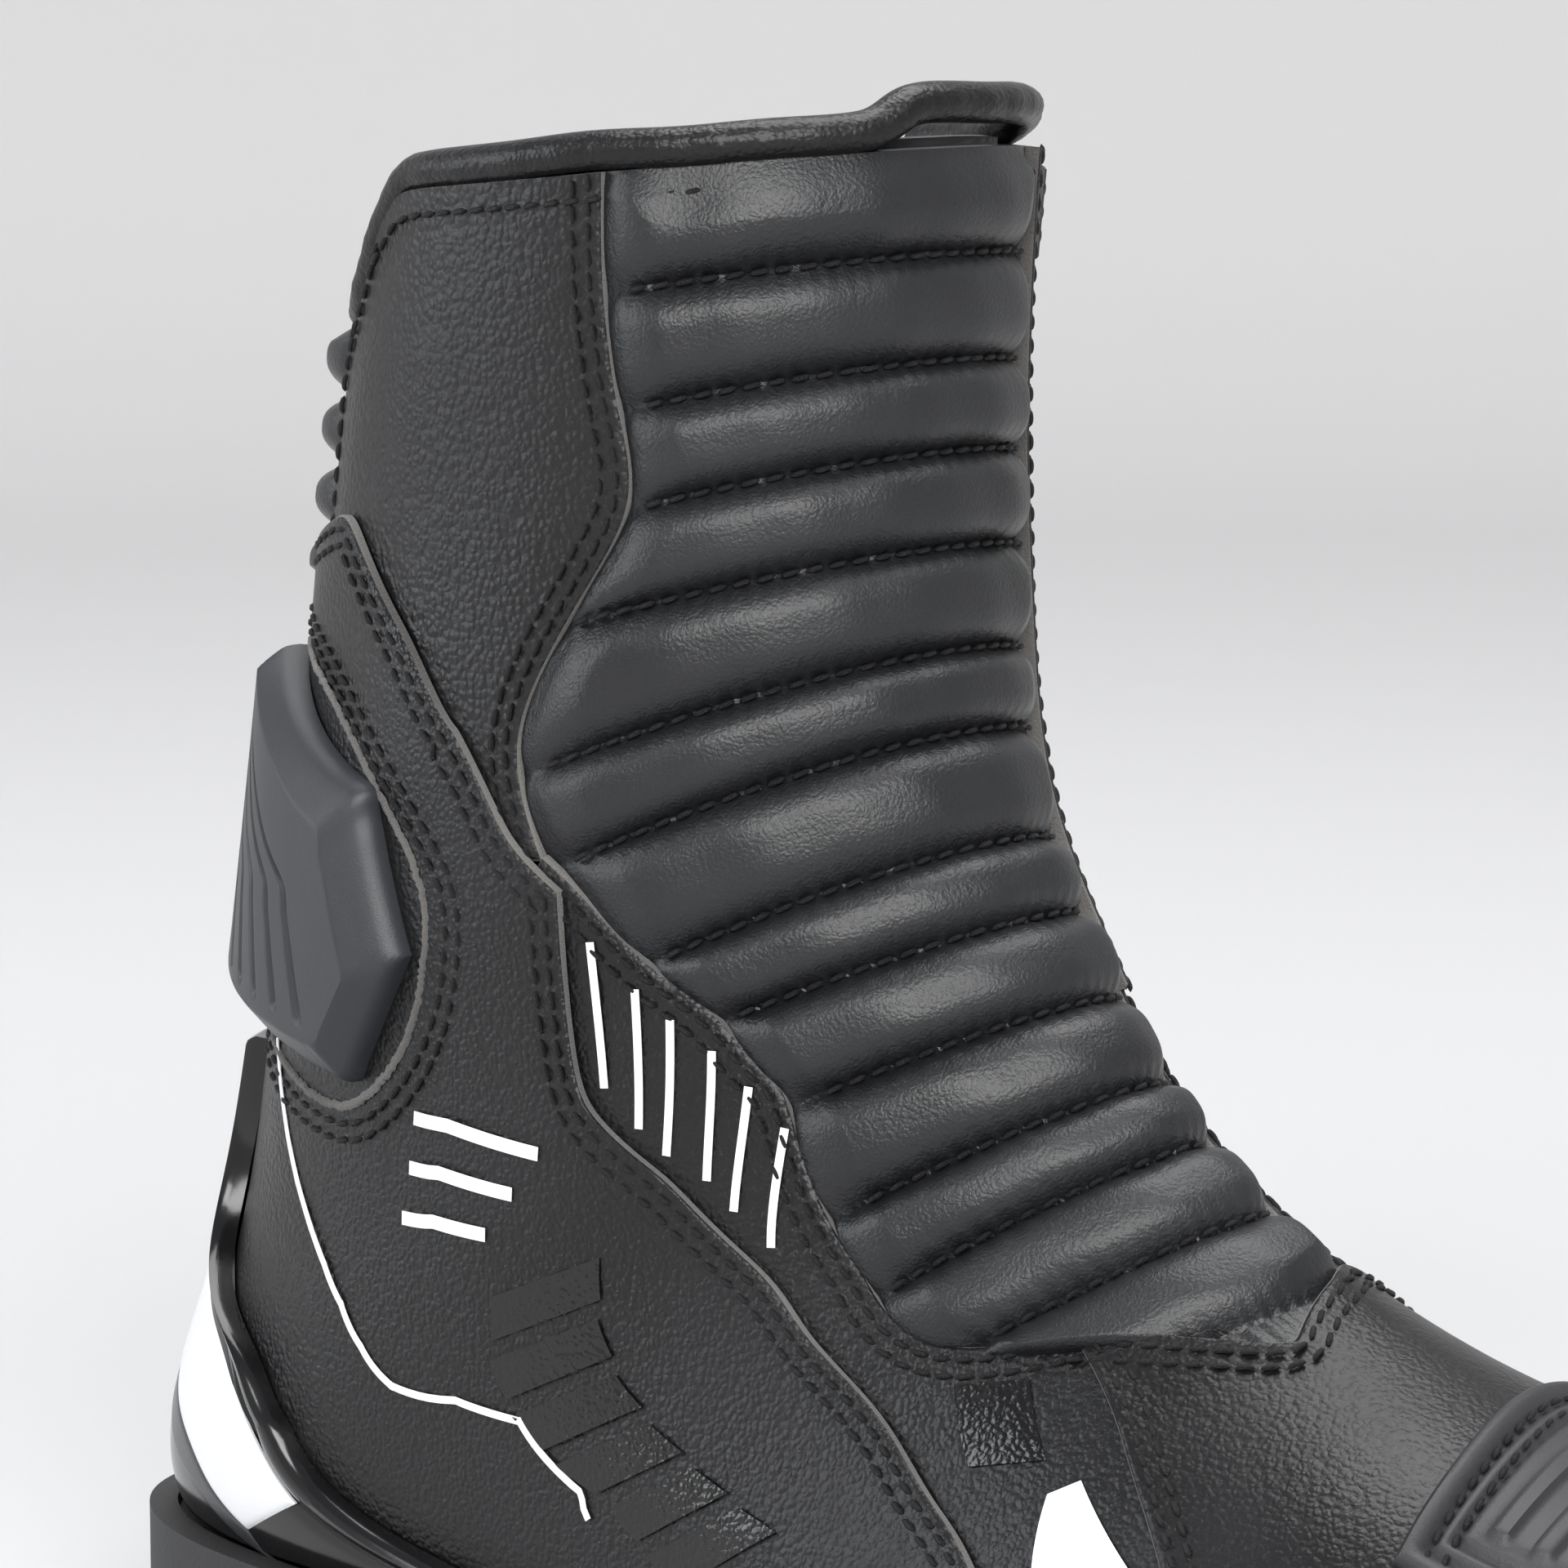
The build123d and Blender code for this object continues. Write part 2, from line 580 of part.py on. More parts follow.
def shank():
    slab = profile(lambda x: last_floor(x) + glue_gap, lambda x: last_floor(x) + glue_gap + shank_wall)
    place = Pos(0.33 * boot_length - CENTRE_X, 0, 0)
    return slab & (place * Box(shank_length, shank_width, 8 * heel_wall_height))


# ---------- zip ----------
ZIP_ANGLE = -90.0
zip_start = Vector(*last_point(zip_top, ZIP_ANGLE))
zip_end = Vector(*last_point(zip_bottom, ZIP_ANGLE))
zip_length = (zip_end - zip_start).length
zip_down = (zip_end - zip_start).normalized()
zip_side = zip_down.cross(Vector(0, 1, 0)).normalized()
zip_out = zip_side.cross(zip_down).normalized()
if zip_out.Y < 0:
    zip_out = -zip_out
ZIP = Plane(origin=zip_start, x_dir=zip_down, z_dir=zip_out)   # x down the zip, z outward
tape_in = lining_out + 2 * glue_gap
tape_out = tape_in + tape_wall
tooth_in = tape_out
tooth_out = tooth_in + tooth_height


def zip_box(x, y, z):
    """A box in the zip's own frame, from three (low, high) pairs."""
    middle = [0.5 * (a + b) for a, b in (x, y, z)]
    size = [b - a for a, b in (x, y, z)]
    return ZIP * (Pos(*middle) * Box(*size))


def zip_tape(side):
    inner, outer = sorted((side * 0.3, side * tape_width))
    return zip_box((-6, zip_length + 4), (inner, outer), (tape_in, tape_out))


def zip_teeth(side):
    count = int((zip_length - 6) / tooth_pitch)
    start = 3 if side > 0 else 3 + 0.5 * tooth_pitch
    thick = 0.5 * tooth_pitch - 0.3
    span = sorted((-side * tooth_cross, side * tooth_reach))
    return [zip_box((start + i * tooth_pitch, start + i * tooth_pitch + thick), span,
                    (tooth_in, tooth_out)) for i in range(count)]


def zip_stop(bottom):
    if bottom:
        return zip_box((zip_length - 1, zip_length + 3), (-tooth_reach, tooth_reach),
                       (tooth_in, tooth_out))
    return [zip_box((-2.5, 2), sorted((side * 0.5, side * tooth_reach)), (tooth_in, tooth_out))
            for side in (1, -1)]


slider_floor = tape_out + slide_clearance
slider_roof = tooth_out + slide_clearance
slider_top = slider_roof + slider_wall
slider_start = 2.6
pin_height = slider_top + pin_radius + eye_wall + pin_clearance + 2.5
PIN_X = slider_start + slider_length - 4.0
eye_width = 4.2


def zip_slider():
    start, end = slider_start, slider_start + slider_length
    half = 0.5 * slider_width
    wall = half - tooth_reach - slide_clearance
    body = zip_box((start, end), (-half, half), (slider_roof, slider_top))
    for side in (1, -1):
        body += zip_box((start, end), sorted((side * (half - wall), side * half)),
                        (slider_floor, slider_top))
    post = 0.5 * eye_width + pin_clearance
    for side in (1, -1):
        body += zip_box((PIN_X - 1.4, PIN_X + 1.4), sorted((side * post, side * (post + 1.4))),
                        (slider_roof, pin_height + 1.4))
    rod = Cylinder(pin_radius, 2 * post + 1.0)
    body += ZIP * (Pos(PIN_X, 0, pin_height) * Rot(90, 0, 0) * rod)
    return body


def zip_pull():
    eye_radius = pin_radius + pin_clearance + eye_wall
    ring = Cylinder(eye_radius, eye_width)
    tab = Pos(0.5 * pull_length, 0, 0) * Box(pull_length - 10, pull_width, pull_wall)
    tab = Pos(5, 0, 0) * tab
    tab = fillet(tab.edges().filter_by(Axis.Z), 0.3 * pull_width)
    neck = Pos(6, 0, 0) * Box(12, eye_width, pull_wall)
    shape = Rot(90, 0, 0) * ring + neck + tab
    shape -= Rot(90, 0, 0) * Cylinder(pin_radius + pin_clearance, 2 * eye_width)
    return ZIP * (Pos(PIN_X, 0, pin_height) * shape)


def zip_gusset():
    return band(TOP, 3.3, -82.6, -97.4, lining_in, lining_out, 4, 6)


# ---------- collar closure ----------
FLAP_TOP, FLAP_BOTTOM = 0.17, 0.62
FLAP_FRONT, FLAP_REAR = -56.0, -110.0
flap_low = over_in + 2 * (tape_pad + glue_gap)


def flap_rise(outer):
    """The flap lies on the leather where it is sewn and over the hook tape at its free end."""
    def level(share):
        ease = np.clip(share / 0.35, 0, 1)
        rise = ease * ease * (3 - 2 * ease)
        return over_in + (flap_low - over_in) * rise + outer
    return level


def closure_flap():
    return panel([(FLAP_TOP, FLAP_REAR), (FLAP_TOP, FLAP_FRONT)],
                 [(FLAP_BOTTOM, FLAP_REAR), (FLAP_BOTTOM, FLAP_FRONT)],
                 [(FLAP_TOP, FLAP_REAR), (FLAP_BOTTOM, FLAP_REAR)],
                 [(FLAP_TOP, FLAP_FRONT), (FLAP_BOTTOM, FLAP_FRONT)],
                 flap_rise(0.0), flap_rise(flap_wall), 11, 4)


def closure_tape(level):
    return band(FLAP_TOP + 0.05, FLAP_BOTTOM - 0.05, -58, -79, level, level + tape_pad, 5, 4)


# ---------- the boot ----------
NODES = {
    "outsole": outsole,
    "heel_cushion": heel_cushion,
    "shank": shank,
    "insole_board": insole_board,
    "footbed": foot_bed,
    "vamp": vamp,
    "toe_cap": toe_cap,
    "toe_puff": toe_puff,
    "shift_pad": shift_pad,
    "lateral_forefoot_panel": lateral_forefoot_panel,
    "medial_forefoot_panel": medial_forefoot_panel,
    "lateral_quarter": lateral_quarter,
    "medial_heel_quarter": medial_heel_quarter,
    "medial_arch_quarter": medial_arch_quarter,
    "heel_counter": heel_counter,
    "heel_cup": heel_cup,
    "heel_band": heel_band,
    "front_flex_panel": lambda: front_quilt(skin_in, quilt_out),
    "front_flex_foam": lambda: front_quilt(foam_in, foam_out, 3.0),
    "rear_flex_panel": lambda: rear_quilt(skin_in, quilt_out),
    "rear_flex_foam": lambda: rear_quilt(foam_in, foam_out, 3.0),
    "lateral_shaft_panel": lateral_shaft_panel,
    "medial_front_panel": medial_front_panel,
    "medial_rear_panel": medial_rear_panel,
    "collar_binding": collar_binding,
    "shaft_lining_lateral": lambda: shaft_lining(0.4, 179.6),
    "shaft_lining_front": lambda: band(TOP, 3.3, -0.4, -82, lining_in, lining_out),
    "shaft_lining_rear": lambda: shaft_lining(-98, -179.6),
    "ankle_lining_lateral": lambda: band(3.36, 5.6, 0.4, 179.6, lining_in, lining_out),
    "ankle_lining_medial": lambda: band(3.36, 5.6, -0.4, -179.6, lining_in, lining_out),
    "foot_lining_lateral": lambda: foot_lining(1),
    "foot_lining_medial": lambda: foot_lining(-1),
    "lateral_ankle_foam": lambda: ankle_foam(1),
    "medial_ankle_foam": lambda: ankle_foam(-1),
    "ankle_protector_pad": lambda: protector(pad_in, pad_out),
    "ankle_protector_shell": lambda: protector(shell_in, shell_out, 0.08),
    "zip_tape_front": lambda: zip_tape(1),
    "zip_tape_rear": lambda: zip_tape(-1),
    "zip_teeth_front": lambda: zip_teeth(1),
    "zip_teeth_rear": lambda: zip_teeth(-1),
    "zip_top_stops": lambda: zip_stop(False),
    "zip_bottom_stop": lambda: zip_stop(True),
    "zip_gusset": zip_gusset,
    "zip_slider": zip_slider,
    "zip_pull": zip_pull,
    "closure_flap": closure_flap,
    "closure_hook_tape": lambda: closure_tape(over_in + tape_pad + glue_gap),
    "closure_loop_tape": lambda: closure_tape(over_in),
}


def main():
    os.makedirs("parts", exist_ok=True)
    for name, make in NODES.items():
        shape = make()
        if isinstance(shape, list):
            shape = Compound(children=shape) if len(shape) > 1 else shape[0]
        export_step(shape, f"parts/{name}.step")


main()
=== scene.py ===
import math
import bpy
import bmesh
import numpy as np
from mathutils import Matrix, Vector


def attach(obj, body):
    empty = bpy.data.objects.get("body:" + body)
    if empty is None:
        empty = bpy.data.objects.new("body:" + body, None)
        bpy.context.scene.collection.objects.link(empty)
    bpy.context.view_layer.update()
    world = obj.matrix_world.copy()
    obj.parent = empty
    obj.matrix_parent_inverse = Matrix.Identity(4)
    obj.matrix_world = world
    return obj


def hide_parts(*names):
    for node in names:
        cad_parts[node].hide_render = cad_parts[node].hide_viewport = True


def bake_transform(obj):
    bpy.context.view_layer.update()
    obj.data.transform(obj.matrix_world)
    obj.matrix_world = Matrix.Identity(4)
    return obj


# A short right-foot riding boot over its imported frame. Every piece of the upper is a sheet laid
# over the last, whose points are named by (station, angle): station 0 is the collar and 13 the
# toe's tip, angle 0 is the front or top, 90 lateral, -90 medial and 180 behind. Layer heights
# and seam distances are in millimetres from the last's surface, and meshes are in metres.

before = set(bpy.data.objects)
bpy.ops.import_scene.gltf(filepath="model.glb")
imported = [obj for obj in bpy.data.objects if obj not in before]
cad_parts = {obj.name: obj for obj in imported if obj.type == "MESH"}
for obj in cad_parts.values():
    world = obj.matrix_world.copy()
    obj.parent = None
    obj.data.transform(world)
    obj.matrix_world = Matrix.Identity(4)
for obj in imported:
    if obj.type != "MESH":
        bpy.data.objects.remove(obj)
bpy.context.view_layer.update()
MM = 0.001
random = np.random.default_rng(7)

# ---------- the last ----------
SECTIONS = np.array([
    # front x, z  back x, z  lateral medial middle widest front back
    [139, 233, 43, 224, 42, 41, 0, 0.50, 2.2, 2.3],
    [137, 207, 37, 192, 42, 41, 0, 0.50, 2.2, 2.3],
    [138, 183, 32, 158, 42, 40, 0, 0.50, 2.2, 2.3],
    [140, 161, 27, 124, 43, 39, 0, 0.50, 2.2, 2.3],
    [147, 139, 20, 90, 43, 38, 0, 0.50, 2.1, 2.3],
    [160, 119, 9, 54, 43, 38, 0, 0.52, 2.0, 2.3],
    [175, 102, 5, 22, 43, 38, 0, 0.55, 1.9, 2.6],
    [192, 89, 55, 13, 43, 38, 0, 0.58, 1.8, 3.0],
    [210, 79, 112, 12, 45, 41, 0, 0.60, 1.8, 3.4],
    [231, 71, 170, 10, 49, 45, 0, 0.62, 1.9, 3.6],
    [252, 63, 218, 8, 50, 46, 3, 0.62, 2.1, 3.8],
    [273, 54, 258, 9, 42, 40, 8, 0.60, 2.3, 3.6],
    [290, 42, 286, 14, 28, 26, 12, 0.55, 2.4, 3.0],
    [299, 29, 299, 24, 4, 4, 13, 0.50, 2.2, 2.2],
], float)
LAST_STATION = len(SECTIONS) - 1
CENTRE = np.array([150.0, -0.6, 0.0])

# ---------- layers ----------
SKIN_IN, SKIN_OUT = -0.7, 0.7
OVER_IN, OVER_OUT = 1.05, 2.55
LINING_IN, LINING_OUT = -6.3, -5.1
CUP_IN, CUP_OUT = 2.9, 5.3
PROTECTOR_THICK = 3.0
QUILT_PUFF = 3.2
QUILT_IN = SKIN_IN - 1.2
FLAP_FRONT, FLAP_REAR = -56, -110    # where the collar flap ends, in degrees
FLAP_TOP, FLAP_BOTTOM = 0.14, 0.64   # its edges, in stations
STITCH = 3.4                 # one lockstitch
ROW_GAP = 2.4                # between the two rows of a double seam
THREAD_LIFT = 0.1            # stitches over the leather they lie on
PRINT_LIFT = 0.42            # prints over the leather, above its unevenness
UNEVEN = 0.2                 # low waves of the leather
EDGE_ROUND = 1.1             # how far in a cut edge is rounded


def bends(values):
    count = len(values)
    system = np.eye(count)
    right = np.zeros(values.shape)
    for i in range(1, count - 1):
        system[i, i - 1:i + 2] = [1, 4, 1]
        right[i] = 6 * (values[i + 1] - 2 * values[i] + values[i - 1])
    return np.linalg.solve(system, right)


def spline(values, at):
    """Natural cubic spline through rows of values, at positions counted in rows."""
    values = np.asarray(values, float)
    second = bends(values)
    i = np.clip(np.floor(at).astype(int), 0, len(values) - 2)
    t = (at - i)[..., None]
    u = 1 - t
    return (u * values[i] + t * values[i + 1]
            + ((u ** 3 - u) * second[i] + (t ** 3 - t) * second[i + 1]) / 6)


def last_point(station, angle):
    station, angle = np.broadcast_arrays(np.asarray(station, float), np.radians(angle))
    row = np.moveaxis(spline(SECTIONS, np.clip(station, 0, LAST_STATION)), -1, 0)
    front_x, front_z, back_x, back_z, lateral, medial, middle, widest, n_front, n_back = row
    cosine, sine = np.cos(angle), np.sin(angle)
    power = 2 / np.where(cosine >= 0, n_front, n_back)
    along = np.sign(cosine) * np.abs(cosine) ** power
    across = np.sign(sine) * np.abs(sine) ** power
    depth = np.where(cosine >= 0, widest * (1 - along), widest - (1 - widest) * along)
    x = front_x + (back_x - front_x) * depth
    z = front_z + (back_z - front_z) * depth
    y = middle - np.where(across >= 0, lateral, medial) * across
    return np.stack([x, y, z], -1) - CENTRE


def outward(station, angle):
    low = np.clip(np.asarray(station, float) - 0.02, 0, LAST_STATION)
    high = np.clip(np.asarray(station, float) + 0.02, 0, LAST_STATION)
    along = last_point(high, angle) - last_point(low, angle)
    angle = np.asarray(angle)
    around = last_point(station, angle + 1.0) - last_point(station, angle - 1.0)
    normal = np.cross(around, along)
    return normal / np.linalg.norm(normal, axis=-1, keepdims=True)


def surface(station, angle, offset):
    """Points in millimetres over the last. Above the collar's edge the surface runs on up."""
    over = np.minimum(np.asarray(station, float), 0.0)[..., None]
    lift = -over * (last_point(0.0, angle) - last_point(0.5, angle)) * 2
    rise = outward(station, angle) * np.asarray(offset)[..., None]
    return last_point(station, angle) + lift + rise


def resample(points, at):
    """Places at shares 0 to 1 of the length of a smooth curve through (station, angle) points."""
    points = np.asarray(points, float)
    fine = spline(points, np.linspace(0, len(points) - 1, 40 * len(points)))
    steps = np.linalg.norm(np.diff(fine, axis=0) * [30, 1], axis=1)
    travelled = np.concatenate([[0], np.cumsum(steps)])
    return np.stack([np.interp(np.asarray(at) * travelled[-1], travelled, fine[:, k])
                     for k in range(2)], -1)


def patch(top, bottom, left, right, u, v):
    """Fill four edges. top and bottom run left to right, left and right run down."""
    top, bottom = resample(top, u), resample(bottom, u)
    left, right = resample(left, v), resample(right, v)
    u, v = u[None, :, None], v[:, None, None]
    ruled = (1 - v) * top[None] + v * bottom[None] + (1 - u) * left[:, None] + u * right[:, None]
    corners = ((1 - u) * (1 - v) * top[0] + u * (1 - v) * top[-1]
               + (1 - u) * v * bottom[0] + u * v * bottom[-1])
    return ruled - corners


def shares(count, size, edges=(True, True)):
    """Shares 0 to 1 with close rows near each cut edge, for its rounded corner."""
    close = np.array([0.25, 0.6, 1.1, 2.0]) / size
    body = list(np.linspace(close[-1] * 1.6, 1 - close[-1] * 1.6, count))
    low = [0.0] + (list(close) if edges[0] else [])
    high = (list(1 - close[::-1]) if edges[1] else []) + [1.0]
    return np.array(low + body + high)


def edge_drop(u, v, sizes, sides):
    """How far the outer face falls at cut edges, in parts of the thickness."""
    width, height = sizes
    reaches = (v[:, None] * height, (1 - v[:, None]) * height,
               u[None, :] * width, (1 - u[None, :]) * width)
    near = np.full((len(v), len(u)), width + height)
    for reach, cut in zip(reaches, sides):
        if cut:
            near = np.minimum(near, reach)
    return 0.5 * np.clip(1 - near / EDGE_ROUND, 0, 1) ** 2.5


# ---------- materials ----------
GRAIN_DEPTH, FINE_DEPTH, WEAVE_DEPTH = 0.0004, 0.0002, 0.0003


def blank(name):
    material = bpy.data.materials.new(name)
    material.use_nodes = True
    return material, material.node_tree, material.node_tree.nodes["Principled BSDF"]


def add(tree, kind, values=None, **settings):
    """A new shader node with its settings and its sockets' values."""
    node = tree.nodes.new("ShaderNode" + kind)
    for setting, value in settings.items():
        setattr(node, setting, value)
    for socket, value in (values or {}).items():
        node.inputs[socket].default_value = value
    return node


def ramp(tree, low, high, low_at=0.0, high_at=1.0):
    """Two colours with a smooth passage between."""
    node = add(tree, "ValToRGB")
    for element, colour, at in zip(node.color_ramp.elements, (low, high), (low_at, high_at)):
        element.color = (*colour, 1)
        element.position = at
    return node


def grained(name, colour, rough, scale, grain, fine=0.0, mottling=0.25, sheen=0.0, spread=0.08,
            shine=0.5):
    """Leather, rubber or moulded plastic: cells and fine noise in bump, broad noise in roughness
    and colour.
    """
    material, tree, shader = blank(name)
    link = tree.links.new
    place = add(tree, "TexCoord").outputs["Object"]
    cells = add(tree, "TexVoronoi", {"Scale": scale, "Smoothness": 0.35, "Randomness": 0.9},
                feature="SMOOTH_F1")
    warp = add(tree, "TexNoise", {"Scale": scale * 0.5, "Detail": 3.0})
    warped = add(tree, "MixRGB", {"Fac": 0.0012}, blend_type="ADD")
    small = add(tree, "TexNoise", {"Scale": scale * 2.6, "Detail": 4.0})
    coarse = add(tree, "Bump", {"Strength": grain, "Distance": GRAIN_DEPTH}, invert=True)
    final = add(tree, "Bump", {"Strength": fine, "Distance": FINE_DEPTH})
    link(place, warp.inputs["Vector"])
    link(place, warped.inputs["Color1"])
    link(warp.outputs["Color"], warped.inputs["Color2"])
    link(warped.outputs["Color"], cells.inputs["Vector"])
    link(place, small.inputs["Vector"])
    link(cells.outputs["Distance"], coarse.inputs["Height"])
    link(small.outputs["Fac"], final.inputs["Height"])
    link(coarse.outputs["Normal"], final.inputs["Normal"])
    link(final.outputs["Normal"], shader.inputs["Normal"])
    broad = add(tree, "TexNoise", {"Scale": 28.0, "Detail": 5.0})
    tone = ramp(tree, [c * (1 - mottling) for c in colour], [c * (1 + mottling) for c in colour],
                0.3, 0.7)
    gloss = add(tree, "MapRange", {"From Min": 0.25, "From Max": 0.75,
                                   "To Min": rough - spread, "To Max": rough + spread})
    link(place, broad.inputs["Vector"])
    link(broad.outputs["Fac"], tone.inputs["Fac"])
    link(tone.outputs["Color"], shader.inputs["Base Color"])
    link(broad.outputs["Fac"], gloss.inputs["Value"])
    link(gloss.outputs["Result"], shader.inputs["Roughness"])
    shader.inputs["Specular IOR Level"].default_value = shine
    shader.inputs["Sheen Weight"].default_value = sheen
    shader.inputs["Sheen Roughness"].default_value = 0.5
    return material


def metal(name, colour, rough):
    material = grained(name, colour, rough, 900, 0.05, 0.1, 0.15)
    material.node_tree.nodes["Principled BSDF"].inputs["Metallic"].default_value = 1.0
    return material


def woven(name, colour, pitch, rough=0.9):
    """Cloth with crossing threads, for tapes, linings and hook tape."""
    material, tree, shader = blank(name)
    link = tree.links.new
    place = add(tree, "TexCoord").outputs["Object"]
    both = add(tree, "Math", operation="MULTIPLY")
    for k, direction in enumerate(("X", "Z")):
        wave = add(tree, "TexWave", {"Scale": 0.314 / pitch, "Distortion": 0.6},
                   bands_direction=direction)
        link(place, wave.inputs["Vector"])
        link(wave.outputs["Fac"], both.inputs[k])
    bump = add(tree, "Bump", {"Strength": 0.5, "Distance": WEAVE_DEPTH})
    tone = ramp(tree, [c * 0.55 for c in colour], [c * 1.3 for c in colour])
    link(both.outputs["Value"], bump.inputs["Height"])
    link(bump.outputs["Normal"], shader.inputs["Normal"])
    link(both.outputs["Value"], tone.inputs["Fac"])
    link(tone.outputs["Color"], shader.inputs["Base Color"])
    shader.inputs["Roughness"].default_value = rough
    shader.inputs["Sheen Weight"].default_value = 0.3
    return material


PEBBLED = grained("pebbled_leather", (0.0055, 0.0055, 0.006), 0.40, 900, 0.62, 0.3, shine=0.38)
FINE = grained("fine_leather", (0.005, 0.005, 0.0055), 0.37, 1100, 0.5, 0.25, shine=0.38)
SMOOTH = grained("smooth_leather", (0.0045, 0.0045, 0.005), 0.36, 1100, 0.35, 0.2, shine=0.34)
QUILTED = grained("quilted_leather", (0.008, 0.0085, 0.0095), 0.38, 1700, 0.22, 0.25, shine=0.5)
SUEDE = grained("raw_edge", (0.105, 0.10, 0.093), 0.95, 2600, 0.6, 0.9, 0.5, sheen=0.2)
THREAD = grained("thread", (0.007, 0.007, 0.008), 0.5, 4500, 0.9, 0.5, 0.3, shine=0.4)
MOULDED = grained("moulded_rubber", (0.016, 0.016, 0.018), 0.5, 2600, 0.10, 0.25, 0.12)
SHIELD = grained("moulded_shield", (0.022, 0.024, 0.028), 0.42, 3200, 0.08, 0.2, 0.1)
SOLE = grained("sole_rubber", (0.020, 0.020, 0.021), 0.62, 1700, 0.18, 0.4, 0.2)
GLOSSY = grained("gloss_plastic", (0.006, 0.006, 0.0065), 0.16, 900, 0.015, 0.02, 0.1,
                 spread=0.05)
WHITE = grained("white_print", (0.83, 0.84, 0.85), 0.42, 2400, 0.12, 0.25, 0.03)
REFLECTIVE = grained("reflective_film", (0.80, 0.81, 0.83), 0.28, 3500, 0.10, 0.1, 0.04)
GREY_FILM = grained("grey_film", (0.035, 0.036, 0.039), 0.30, 3500, 0.06, 0.1, 0.1)
GLOSS_PRINT = grained("gloss_print", (0.004, 0.004, 0.0042), 0.12, 1150, 0.22, 0.1, 0.1,
                      spread=0.04)
FOAM = grained("foam", (0.22, 0.22, 0.23), 0.95, 1400, 0.7, 0.6)
BOARD = grained("fibre_board", (0.28, 0.22, 0.16), 0.9, 700, 0.3, 0.5)
STEEL = metal("steel", (0.55, 0.55, 0.56), 0.35)
ZIP_METAL = metal("zip_metal", (0.16, 0.16, 0.17), 0.3)
LINING = woven("lining_cloth", (0.035, 0.035, 0.038), 0.0011)
TAPE = woven("zip_cloth", (0.016, 0.016, 0.017), 0.0006)
BED_CLOTH = woven("footbed_cloth", (0.05, 0.05, 0.055), 0.0014)
HOOK = woven("hook_cloth", (0.02, 0.02, 0.022), 0.0009, 0.95)


def finish_piece(piece, body=None):
    """Fix a piece to the frame: attached to its one body if it has one, else baked in place with no
    parent.
    """
    if body:
        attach(piece, body)
    else:
        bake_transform(piece)
    return piece


def new_piece(name, points, faces, materials, indices=None, sharp=38):
    mesh = bpy.data.meshes.new(name)
    mesh.from_pydata((np.asarray(points) * MM).tolist(), [], faces)
    for material in materials:
        mesh.materials.append(material)
    if indices is not None:
        mesh.polygons.foreach_set("material_index", indices)
    work = bmesh.new()
    work.from_mesh(mesh)
    bmesh.ops.recalc_face_normals(work, faces=work.faces)
    work.to_mesh(mesh)
    work.free()
    mesh.polygons.foreach_set("use_smooth", [True] * len(mesh.polygons))
    mesh.set_sharp_from_angle(angle=math.radians(sharp))
    piece = bpy.data.objects.new(name, mesh)
    bpy.context.scene.collection.objects.link(piece)
    return piece


def shell(name, grid, inner, outer, materials, raw=(True, True, True, True), sharp=38):
    """A closed sheet between two heights over a grid of (station, angle), raw on some sides."""
    rows, columns = grid.shape[:2]
    inner = np.broadcast_to(np.asarray(inner, float), (rows, columns))
    outer = np.broadcast_to(np.asarray(outer, float), (rows, columns))
    top = surface(grid[..., 0], grid[..., 1], outer).reshape(-1, 3)
    low = surface(grid[..., 0], grid[..., 1], inner).reshape(-1, 3)
    count = rows * columns
    faces, kinds = [], []
    for i in range(rows - 1):
        for j in range(columns - 1):
            a, b = i * columns + j, i * columns + j + 1
            c, d = b + columns, a + columns
            border = ((raw[0] and i == 0) or (raw[1] and i == rows - 2)
                      or (raw[2] and j == 0) or (raw[3] and j == columns - 2))
            faces += [(a, b, c, d), (a + count, d + count, c + count, b + count)]
            kinds += [1 if border and len(materials) > 1 else 0, 0]
    ring = ([(0, j) for j in range(columns - 1)] + [(i, columns - 1) for i in range(rows - 1)]
            + [(rows - 1, j) for j in range(columns - 1, 0, -1)]
            + [(i, 0) for i in range(rows - 1, 0, -1)])
    loop = [i * columns + j for i, j in ring]
    for a, b in zip(loop, loop[1:] + loop[:1]):
        faces.append((a, b, b + count, a + count))
        kinds.append(1 if len(materials) > 1 else 0)
    return new_piece(name, np.concatenate([top, low]), faces, materials, kinds, sharp)


def sheet(name, top, bottom, left, right, inner, outer, materials, counts=(40, 40),
          sides=(True, True, True, True), relief=None):
    """A panel with rounded, raw cut edges on the named sides: top, bottom, left, right."""
    even = np.linspace(0, 1, 9)
    rough_grid = patch(top, bottom, left, right, even, even)
    spots = surface(rough_grid[..., 0], rough_grid[..., 1], np.zeros((9, 9)))
    width = np.linalg.norm(np.diff(spots, axis=1), axis=2).sum(1).mean()
    height = np.linalg.norm(np.diff(spots, axis=0), axis=2).sum(0).mean()
    u = shares(counts[0], width, sides[2:])
    v = shares(counts[1], height, sides[:2])
    grid = patch(top, bottom, left, right, u, v)
    lift = outer - edge_drop(u, v, (width, height), sides) * (outer - inner)
    if relief is not None:
        lift = lift + relief(grid, u * width, v * height, width, height)
    return shell(name, grid, inner, lift, materials, sides)


def gentle(grid, *_):
    """Low, wide unevenness that hand-lasted leather has."""
    s, a = grid[..., 0], grid[..., 1]
    return UNEVEN * (np.sin(1.9 * s + 0.05 * a) * np.cos(0.071 * a - 0.8 * s)
                     + 0.5 * np.sin(3.7 * s - 0.09 * a + 1.3))


